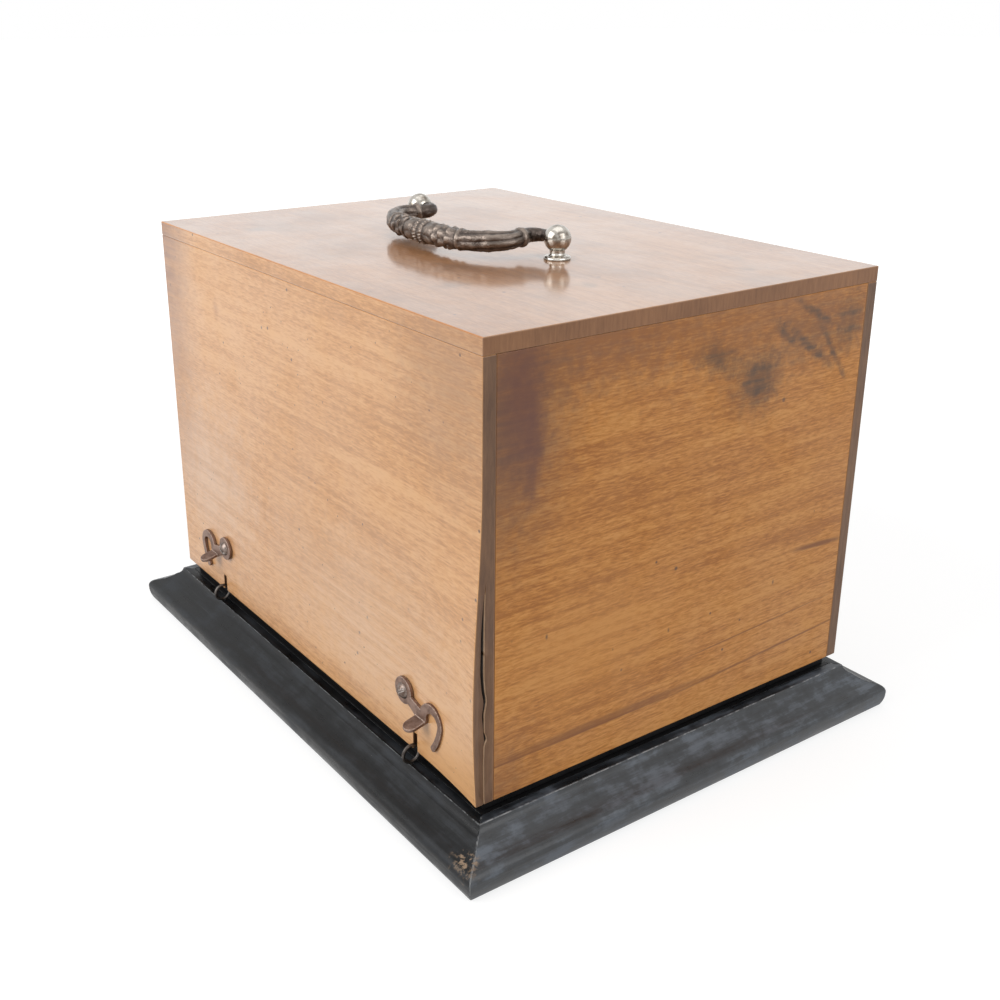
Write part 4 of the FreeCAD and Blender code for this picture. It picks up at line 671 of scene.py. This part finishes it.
def inside_of_cover(centre):
    within = side_high.y - SKIN < centre.y < -side_high.y + SKIN and abs(centre.x) < end_low.x + SKIN
    return within and centre.z < lid_low.z + SKIN


def board_faces(grain_axis):
    """Pick 0 for varnish, 1 for end grain and 2 for bare wood."""
    def pick(normal, centre):
        if inside_of_cover(centre):
            return 2
        return 1 if abs(normal[grain_axis]) > FACING else 0
    return pick


def cover_board(node, name, finish, grain_axis):
    mesh = eased(node, BOARD_EASE)
    choose_faces(mesh, board_faces(grain_axis))
    return settle(mesh, name, "cover", finish, end_grain, bare_wood, stands_for=[node])


def lid_board():
    """The lid shows its long edges along the sides and sawn end grain at both ends."""
    mesh = eased("cover_top", BOARD_EASE)
    choose_faces(mesh, lid_faces)
    return settle(mesh, "lid_board", "cover", lid_varnish, side_varnish, lid_end_grain, bare_wood, lid_arris,
                  stands_for=["cover_top"])


def lid_faces(normal, centre):
    """Pick 0 for the top, 1 for long edges, 2 for end grain, 3 for bare wood and 4 for rubbed rims."""
    if abs(normal.x) > FACING:
        return 2
    if abs(normal.y) > SQUARE:
        return 1
    if abs(normal.y) > LEANING and normal.z > 0:
        return 4
    return 3 if normal.z < -FACING else 0


lid_board()
cover_board("cover_end_front", "front_end_board", end_varnish, 1)
cover_board("cover_end_rear", "rear_end_board", far_end_varnish, 1)
cover_board("cover_side_right", "right_side_board", far_side_varnish, 0)
dress("corner_blocks", "glue_blocks", "cover", bare_wood, 0.8 * MM)

# %% [markdown]
# The left board has split at its front end, where a crooked crack runs up the end grain from the foot. Its
# empty space is a thin wedge, open at its mouth and closing inwards. Its inner edge and its width are drawn
# as millimetres at shares of its height.

# %% The crack
CRACK_TOP = side_low.z + 127 * MM
CRACK_DEEP = 9 * MM
CRACK_TIP = 0.12 * MM
CRACK_LEVELS = 60
BELOW_FOOT = 2 * MM
BEFORE_END = 1 * MM
TORN = 3
crack_line = ((0, 2.1), (0.22, 1.8), (0.29, 2.0), (0.32, 3.9), (0.35, 2.3), (0.43, 2.1), (0.49, 3.6),
              (0.54, 2.5), (0.62, 1.9), (0.8, 2.0), (0.92, 2.1), (1, 2.5))
crack_width = ((0, 0.9), (0.29, 1.0), (0.32, 2.2), (0.35, 1.2), (0.49, 2.4), (0.62, 2.9), (0.8, 2.5),
               (0.92, 1.3), (1, 0.1))


def between(place, knots):
    """The value at a place on a line through knots, which are pairs of a place and a value."""
    for (low, start), (high, stop) in zip(knots, knots[1:]):
        if place <= high:
            return start + (stop - start) * (place - low) / (high - low)
    return knots[-1][1]


def slice_at(mesh, place, normal):
    everything = mesh.verts[:] + mesh.edges[:] + mesh.faces[:]
    return bmesh.ops.bisect_plane(mesh, geom=everything, plane_co=place, plane_no=normal, dist=1e-7)


def crack_wedge():
    """The crack's empty space. Its inner edge follows crack_line, measured from the board's face."""
    mesh = bmesh.new()
    bmesh.ops.create_cube(mesh, size=2.0)
    for i in range(1, CRACK_LEVELS):
        slice_at(mesh, (0, 0, 2 * i / CRACK_LEVELS - 1), (0, 0, 1))
    foot = side_low.z - BELOW_FOOT
    for vert in mesh.verts:
        share = (vert.co.z + 1) / 2
        inner = side_low.y + between(share, crack_line) * MM
        wide = between(share, crack_width) * MM
        outwards = vert.co.x > 0
        if vert.co.y > 0:
            y = inner if outwards else inner - (wide - CRACK_TIP) / 2
        else:
            y = inner - wide if outwards else inner - (wide + CRACK_TIP) / 2
        x = side_high.x + BEFORE_END if outwards else side_high.x - CRACK_DEEP
        vert.co = (x, y, foot + share * (CRACK_TOP - foot))
    bmesh.ops.recalc_face_normals(mesh, faces=mesh.faces)
    for face in mesh.faces:
        face.material_index = TORN
    return mesh


print("crack", round((CRACK_TOP - side_low.z) / MM), "mm high")

# %% [markdown]
# The board's skin has sprung away from the case beside the crack. The spring is a smooth bulge, strongest
# at the board's end and on its outer face. The board is sliced first, so that it has points enough to bend,
# and the wedge is then cut out of it.

# %% The split side board
SPRUNG = 5.4 * MM
SPRUNG_MIDDLE = side_low.z + 52 * MM
SPRUNG_HALF = 130 * MM
SPRUNG_REACH = 70 * MM
SPRUNG_CURL = 2.2
SPRUNG_LEVELS = 30
SPRUNG_COLUMNS = 14


def cut_away(mesh, tool):
    """One bmesh with another taken out of it by an exact boolean."""
    held = []
    for each in (mesh, tool):
        data = bpy.data.meshes.new("cutting")
        each.to_mesh(data)
        each.free()
        held.append(new_object("cutting", data))
    board, knife = held
    boolean = board.modifiers.new("cutting", "BOOLEAN")
    boolean.operation = "DIFFERENCE"
    boolean.solver = "EXACT"
    boolean.object = knife
    shaped = board.evaluated_get(bpy.context.evaluated_depsgraph_get())
    result = bmesh.new()
    result.from_mesh(shaped.data)
    for each in held:
        data = each.data
        bpy.data.objects.remove(each)
        bpy.data.meshes.remove(data)
    return result


def split_side():
    mesh = eased("cover_side_left", BOARD_EASE)
    slice_at(mesh, (0, (side_low.y + side_high.y) / 2, 0), (0, 1, 0))
    for i in range(SPRUNG_LEVELS):
        slice_at(mesh, (0, 0, SPRUNG_MIDDLE + SPRUNG_HALF * (2 * i / SPRUNG_LEVELS - 1)), (0, 0, 1))
    for i in range(1, SPRUNG_COLUMNS + 1):
        slice_at(mesh, (side_high.x - SPRUNG_REACH * i / SPRUNG_COLUMNS, 0, 0), (1, 0, 0))
    thick = side_high.y - side_low.y
    for vert in mesh.verts:
        height = (vert.co.z - SPRUNG_MIDDLE) / SPRUNG_HALF
        near = 1 - (side_high.x - vert.co.x) / SPRUNG_REACH
        if abs(height) < 1 and near > 0:
            outer = (side_high.y - vert.co.y) / thick
            vert.co.y -= SPRUNG * math.cos(math.pi / 2 * height)**2 * near**SPRUNG_CURL * outer
    bmesh.ops.recalc_face_normals(mesh, faces=mesh.faces)
    choose_faces(mesh, board_faces(0))
    mesh = cut_away(mesh, crack_wedge())
    return settle(mesh, "left_side_board", "cover", side_varnish, end_grain, bare_wood, torn_wood,
                  stands_for=["cover_side_left"])


split_side()

# %% [markdown]
# Under the cover lies the black base: a board framed by four mitred mouldings, and a platform that lifts
# the cover clear of them. Easing each strip by itself leaves a hair line at every mitre, as on the real
# base.

# %% Base
BLACK_EASE = 0.45 * MM
for node, finish in (("base_board", black_platform), ("base_platform", black_platform),
                     ("moulding_front", black_along_y), ("moulding_rear", black_along_y),
                     ("moulding_left", black_along_x), ("moulding_right", black_along_x)):
    dress(node, node + "_stained", "base", finish, BLACK_EASE)

# %% [markdown]
# Four iron hooks turn on screws and catch in wire eyes on the base. They are flat stampings with rounded
# rims, so eased copies of the solids serve, with the browned finish on the plates and a brighter worn one
# on the screws.

# %% Hooks, screws and eyes
for side in ("left", "right"):
    for end in ("front", "rear"):
        node = "hook_%s_%s" % (side, end)
        dress(node, node + "_plate", node, browned_iron, 0.4 * MM)
dress("hook_screws", "slotted_screws", "cover", worn_screw, 0.18 * MM)
dress("screw_eyes", "wire_eyes", "base", dark_wire, 0.1 * MM)

# %% [markdown]
# The handle is a bronzed iron casting that swings on two nickelled balls. Half of it is drawn as a line of
# places, and the carving is a function of the distance from its middle and the angle round the bar: a
# toothed collar, petals, leaf scales, a long fluted grip, a ring and a plain neck. A flat grid has just
# those two numbers, so the bar is a grid that is rolled up along the line.

# %% Line of the handle
BAIL_TILT = math.radians(3)
ORNAMENT_RADIUS = 7.3 * MM
PIN_IN = 3.5 * MM
PIN_RADIUS = 2.4 * MM
BALL_GAP = 0.5 * MM
LINE_STEPS = 24
post_low, post_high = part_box("handle_posts")
ball_radius = (post_high.y - post_low.y) / 2
near_ball = Vector((post_high.x - ball_radius, 0, post_high.z - ball_radius))
far_ball = Vector((post_low.x + ball_radius, 0, post_high.z - ball_radius))
bail_middle = (near_ball + far_ball) / 2
half_span = (near_ball - far_ball).length / 2
bail_out = -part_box("handle_bail")[0].y - ORNAMENT_RADIUS
bail_line = [
    (0, bail_out), (18.5 * MM, bail_out - 0.6 * MM), (33.5 * MM, bail_out - 2.8 * MM),
    (47.5 * MM, bail_out - 9.3 * MM), (56.5 * MM, bail_out - 19.7 * MM), (55.5 * MM, bail_out - 29.7 * MM),
    (54 * MM, 4.5 * MM), (59.5 * MM, 0.3 * MM), (half_span - ball_radius - BALL_GAP, 0),
    (half_span - PIN_IN, 0),
]


def smooth_line(points):
    """Close points on one smooth curve through a few given ones."""
    curve = bpy.data.curves.new("bail_line", "CURVE")
    curve.dimensions = "3D"
    curve.resolution_u = LINE_STEPS
    spline = curve.splines.new("BEZIER")
    spline.bezier_points.add(len(points) - 1)
    for knot, (along, out) in zip(spline.bezier_points, points):
        knot.co = (along, -out, 0)
        knot.handle_left_type = "AUTO"
        knot.handle_right_type = "AUTO"
    holder = bpy.data.objects.new("bail_line", curve)
    drawn = bpy.data.meshes.new_from_object(holder)
    line = [vert.co.copy() for vert in drawn.vertices]
    bpy.data.objects.remove(holder)
    bpy.data.meshes.remove(drawn)
    return line


half_line = smooth_line(bail_line)
lengths = [0.0]
for a, b in zip(half_line, half_line[1:]):
    lengths.append(lengths[-1] + (b - a).length)
pin_from = (lengths[-1] - (ball_radius + BALL_GAP - PIN_IN)) / MM
print("half of the handle is", round(lengths[-1] / MM, 1), "mm along its line")

# %% [markdown]
# The carving's heights are in millimetres over the plain bar. A ridge is the rounded top of a sine, and
# taking its absolute value makes the sharp valleys of flutes. Every vertex also keeps its height as relief,
# so that the finish can darken the valleys.

# %% Carving of the handle
COLLAR_END = 5
PETALS_END = 16
SCALES_END = 33
GRIP_START = 36
GRIP_END = 72
RING_END = 77
COLLAR_TEETH = 22
SCALE_ROW = 5.7
PLAIN_NECK = 4
BAIL_STEPS = 520
BAIL_ROUND = 132
RELIEF_LEVEL = 0.45
RELIEF_PER_MM = 0.5
bar_knots = ((0, 6.1), (16, 6.0), (34, 5.8), (55, 5.4), (71, 4.8), (82, 4.3), (92, 3.6), (100, 3.4))


def swell(far, low, high):
    """A smooth bulge between two distances, 0 at both and 1 midway."""
    return math.sin(math.pi * (far - low) / (high - low)) if low < far < high else 0.0


def carving(far, turn):
    """The ornament's height over the bar at a distance and an angle."""
    around = Vector((far * 0.3, 2.2 * math.cos(turn), 2.2 * math.sin(turn)))
    height = 0.3 * noise.noise(around) + 0.14 * noise.noise(around * 3.1)
    if far < COLLAR_END:
        ridge = swell(far, 0.7, 4.9)
        height += 0.2 + ridge * (0.55 + 0.75 * max(0.0, math.sin(COLLAR_TEETH * turn)))
    height += 0.9 * swell(far, COLLAR_END, PETALS_END) * (0.3 + 0.7 * abs(math.cos(2.5 * turn)))
    if PETALS_END <= far < SCALES_END:
        row = int((far - PETALS_END) / SCALE_ROW)
        rise = (far - PETALS_END) / SCALE_ROW - row
        leaf = abs(math.cos(3 * turn + row * math.pi / 2))
        height += 0.1 + 1.25 * (1 - rise) * max(0.0, leaf - 0.5 * rise)
    height += 0.8 * swell(far, SCALES_END, 36.5)
    if GRIP_START <= far < GRIP_END:
        flute = abs(math.sin(3.5 * (turn + 0.012 * far)))
        height += swell(far, 32, 76)**0.5 * (0.8 * flute - 0.15) + 0.3 * swell(far, 50, 55)
    height += 1.3 * swell(far, GRIP_END, RING_END)
    return height


def station(far):
    """The point and the way of the line at a distance from the handle's middle, in metres."""
    last = len(lengths) - 2
    i = next((k for k in range(last + 1) if lengths[k + 1] >= far), last)
    a, b = half_line[i], half_line[i + 1]
    share = (far - lengths[i]) / max(lengths[i + 1] - lengths[i], 1e-9)
    return a.lerp(b, min(share, 1.0)), (b - a).normalized()


def bail_mesh():
    mesh = bmesh.new()
    bmesh.ops.create_grid(mesh, x_segments=BAIL_STEPS, y_segments=BAIL_ROUND, size=1.0)
    relief = mesh.verts.layers.float.new("relief")
    tilt = Matrix.Rotation(BAIL_TILT, 3, "X")
    for vert in mesh.verts:
        side = math.copysign(1, vert.co.x)
        far = abs(vert.co.x) * lengths[-1]
        turn = math.pi * (vert.co.y + 1)
        point, way = station(far)
        outwards = Vector((-way.y, way.x, 0))
        height = carving(far / MM, turn) if far / MM < pin_from - PLAIN_NECK else 0.0
        radius = (between(far / MM, bar_knots) + height) * MM if far / MM < pin_from else PIN_RADIUS
        place = point + (outwards * math.cos(turn) + Vector((0, 0, 1)) * math.sin(turn)) * radius
        place.x *= side
        vert.co = bail_middle + tilt @ place
        vert[relief] = max(0.0, min(1.0, RELIEF_LEVEL + RELIEF_PER_MM * height))
    bmesh.ops.remove_doubles(mesh, verts=mesh.verts, dist=WELD)
    bmesh.ops.holes_fill(mesh, edges=mesh.edges, sides=0)
    bmesh.ops.recalc_face_normals(mesh, faces=mesh.faces)
    return mesh


settle(bail_mesh(), "cast_handle", "handle", cast_iron, stands_for=["handle_bail"], smooth=math.radians(60))
dress("handle_posts", "nickel_ball_posts", "cover", nickel, 0.35 * MM)
dress("handle_nuts", "post_nuts", "cover", browned_iron, 0.3 * MM)

# %% [markdown]
# Lift the cover and the lantern stands there: a japanned sheet-iron house with a crowned flue, a hinged
# door, and brass from the condenser forward. Sheet edges are eased a little, because folded tin has no
# sharp rim.

# %% Lamp house
for node, name in (("house_floor", "tin_floor"), ("house_wall_left", "tin_wall_left"),
                   ("house_wall_right", "tin_wall_right"), ("house_wall_front", "tin_wall_front"),
                   ("house_wall_rear", "tin_wall_rear"), ("house_roof", "tin_roof"),
                   ("chimney_pipe", "flue_pipe"), ("chimney_crown", "flue_crown")):
    dress(node, name, "base", japan, 0.25 * MM)
dress("house_feet", "turned_feet", "base", brass, 0.4 * MM)
dress("lamp_door", "tin_door", "door", japan, 0.25 * MM)
dress("door_knob", "door_pull", "door", brass, 0.25 * MM)
dress("door_hinge", "knuckle_hinge", "base", browned_iron, 0.2 * MM)

# %% [markdown]
# Brass carries the optics: the condenser barrel through the front wall, the slide stage, and the focusing
# jacket with its sliding tube.

# %% Condenser, stage and objective
for node, name, body, finish, width in (
        ("condenser_barrel", "barrel", "base", brass, 0.35),
        ("condenser_rings", "lens_rings", "base", brass, 0.25),
        ("condenser_lenses", "bull_lenses", "base", clear_glass, 0.3),
        ("stage_plate_rear", "stage_back", "base", japan, 0.3),
        ("stage_plate_front", "stage_face", "base", japan, 0.3),
        ("stage_rails", "stage_bars", "base", japan, 0.3),
        ("stage_screws", "stage_bolts", "base", brass, 0.2),
        ("stage_springs", "leaf_springs", "base", brass, 0.12),
        ("slide_carrier", "slide_frame", "carrier", mahogany, 0.5),
        ("glass_slides", "slide_panes", "carrier", clear_glass, 0.2),
        ("objective_jacket", "focus_jacket", "base", brass, 0.3),
        ("draw_tube", "sliding_tube", "objective", brass, 0.25),
        ("lens_hood", "front_hood", "objective", brass, 0.4),
        ("objective_lenses", "front_lenses", "objective", clear_glass, 0.3),
        ("focus_rack", "toothed_rack", "objective", brass, 0.1),
        ("focus_pinion", "toothed_wheel", "pinion", brass, 0.1),
        ("focus_knobs", "milled_knobs", "pinion", brass, 0.3)):
    dress(node, name, body, finish, width * MM)

# %% [markdown]
# The oil lamp slides in from the rear on its tray: a brass font and burner, a glass chimney, a silvered
# dish behind the flame and a small wheel that raises the wick.

# %% Oil lamp
for node, name, body, finish, width in (
        ("lamp_tray", "sliding_tray", "lamp", japan, 0.25),
        ("lamp_reservoir", "oil_font", "lamp", lamp_brass, 0.5),
        ("filler_cap", "font_cap", "lamp", lamp_brass, 0.3),
        ("burner", "flame_burner", "lamp", lamp_brass, 0.25),
        ("lamp_glass", "glass_chimney", "lamp", smoky_glass, 0.2),
        ("reflector", "silver_dish", "lamp", silver, 0.25),
        ("wick_knob", "wick_wheel", "wick_spindle", lamp_brass, 0.3),
        ("wick", "cotton_wick", "wick", cotton, 0.3)):
    dress(node, name, body, finish, width * MM)

# %% [markdown]
# The studio is a white sweep. The floor is plain diffuse, with a glow that only the camera and reflections
# see, so the picture's ground is white and no extra light falls on the wood. The glow is weaker round the
# case, where the soft shadow should show, and full farther off, where a horizon shouldn't.

# %% Floor and world
FLOOR_GLOW = 0.74
FLOOR_TONE = 0.32
FLOOR_NEAR = 0.4
FLOOR_FAR = 1.1
FLOOR_HALF = 12.0
WORLD_LEVEL = 0.5


def seen_rays(tree):
    """1 for camera, glossy and transmission rays, 0 for the light that falls on the case."""
    path = tree.nodes.new("ShaderNodeLightPath")
    total = path.outputs["Is Camera Ray"]
    for name in ("Is Glossy Ray", "Is Transmission Ray"):
        most = tree.nodes.new("ShaderNodeMath")
        most.operation = "MAXIMUM"
        tree.links.new(total, most.inputs[0])
        tree.links.new(path.outputs[name], most.inputs[1])
        total = most.outputs[0]
    return total


def white_floor():
    mesh = bmesh.new()
    bmesh.ops.create_grid(mesh, x_segments=1, y_segments=1, size=FLOOR_HALF)
    data = bpy.data.meshes.new("studio_floor")
    mesh.to_mesh(data)
    mesh.free()
    floor = new_object("studio_floor", data)
    paper = Finish("white_paper", tone(FLOOR_TONE, FLOOR_TONE, FLOOR_TONE), Roughness=0.9,
                   Specular_IOR_Level=0.1)
    paper.shader.inputs["Emission Color"].default_value = tone(1, 1, 1)
    far = paper.add("VectorMath", {0: paper.place}, operation="LENGTH").outputs["Value"]
    level = paper.calc("ADD", paper.step(far, FLOOR_NEAR, FLOOR_FAR, 1 - FLOOR_GLOW), FLOOR_GLOW)
    glow = paper.calc("MULTIPLY", seen_rays(paper.tree), level)
    paper.tree.links.new(glow, paper.shader.inputs["Emission Strength"])
    data.materials.append(paper.material)


def white_world(level):
    world = bpy.data.worlds.new("white_room")
    world.use_nodes = True
    tree = world.node_tree
    background = tree.nodes["Background"]
    seen = tree.nodes.new("ShaderNodeMapRange")
    tree.links.new(seen_rays(tree), seen.inputs["Value"])
    seen.inputs["To Min"].default_value = level
    tree.links.new(seen.outputs["Result"], background.inputs["Strength"])
    background.inputs["Color"].default_value = tone(1, 1, 1)
    bpy.context.scene.world = world


white_floor()
white_world(WORLD_LEVEL)
print("white floor and world")

# %% [markdown]
# A broad window stands to the left of the case and a weaker screen on the right, as in a daylight studio:
# the long side is bright, the end board a little darker, and the shadows are soft. The room behind the case
# is white, with a faint lamp in it, and the varnished lid, seen at a low angle, mirrors it as a pale glare.


# %% Lamps
def soft_lamp(name, place, aim, size, power):
    data = bpy.data.lights.new(name, "AREA")
    data.shape = "RECTANGLE"
    data.size, data.size_y = size
    data.energy = power
    lamp = new_object(name, data)
    lamp.location = place
    lamp.visible_camera = False
    lamp.rotation_euler = (Vector(aim) - Vector(place)).to_track_quat("-Z", "Y").to_euler()
    print("lamp", name, power, "W")


case_middle = (0, 0, 0.15)
soft_lamp("window_left", (-0.5, -1.9, 1.3), case_middle, (1.8, 1.6), 32)
soft_lamp("screen_right", (1.9, 0.3, 1.2), case_middle, (1.4, 1.4), 13)
soft_lamp("ceiling", (0, 0.2, 2.4), case_middle, (2.2, 2.2), 12)
soft_lamp("bright_back_wall", (-2.1, 1.5, 0.95), case_middle, (3.6, 1.5), 1.6)

# %% [markdown]
# The camera was found from the case itself: its corners' places in the picture, with the known sizes, give
# the distance, the angles and the lens. The picture is taken to be square.

# %% Camera
CAMERA_PLACE = Vector((0.6296, -0.4584, 0.4291))
CAMERA_AZIMUTH = math.radians(54.29)
CAMERA_ELEVATION = math.radians(20.5)
CAMERA_ROLL = math.radians(0.2)
PICTURE = 1000
FOCAL_PIXELS = 1254.4
AXIS_PIXEL = (481.5, 462.3)

lens = bpy.data.cameras.new("studio_camera")
lens.sensor_width = 36.0
lens.lens = FOCAL_PIXELS / PICTURE * lens.sensor_width
lens.shift_x = (PICTURE / 2 - AXIS_PIXEL[0]) / PICTURE
lens.shift_y = (AXIS_PIXEL[1] - PICTURE / 2) / PICTURE
lens.clip_start = 0.01
camera = new_object("studio_camera", lens)
level = math.cos(CAMERA_ELEVATION)
forward = Vector((-math.sin(CAMERA_AZIMUTH) * level, math.cos(CAMERA_AZIMUTH) * level,
                  -math.sin(CAMERA_ELEVATION)))
turned = forward.to_track_quat("-Z", "Y").to_matrix() @ Matrix.Rotation(CAMERA_ROLL, 3, "Z")
camera.matrix_world = Matrix.Translation(CAMERA_PLACE) @ turned.to_4x4()
bpy.context.scene.camera = camera
bpy.context.scene.view_settings.view_transform = "Standard"
print("camera lens", round(lens.lens, 2), "mm")
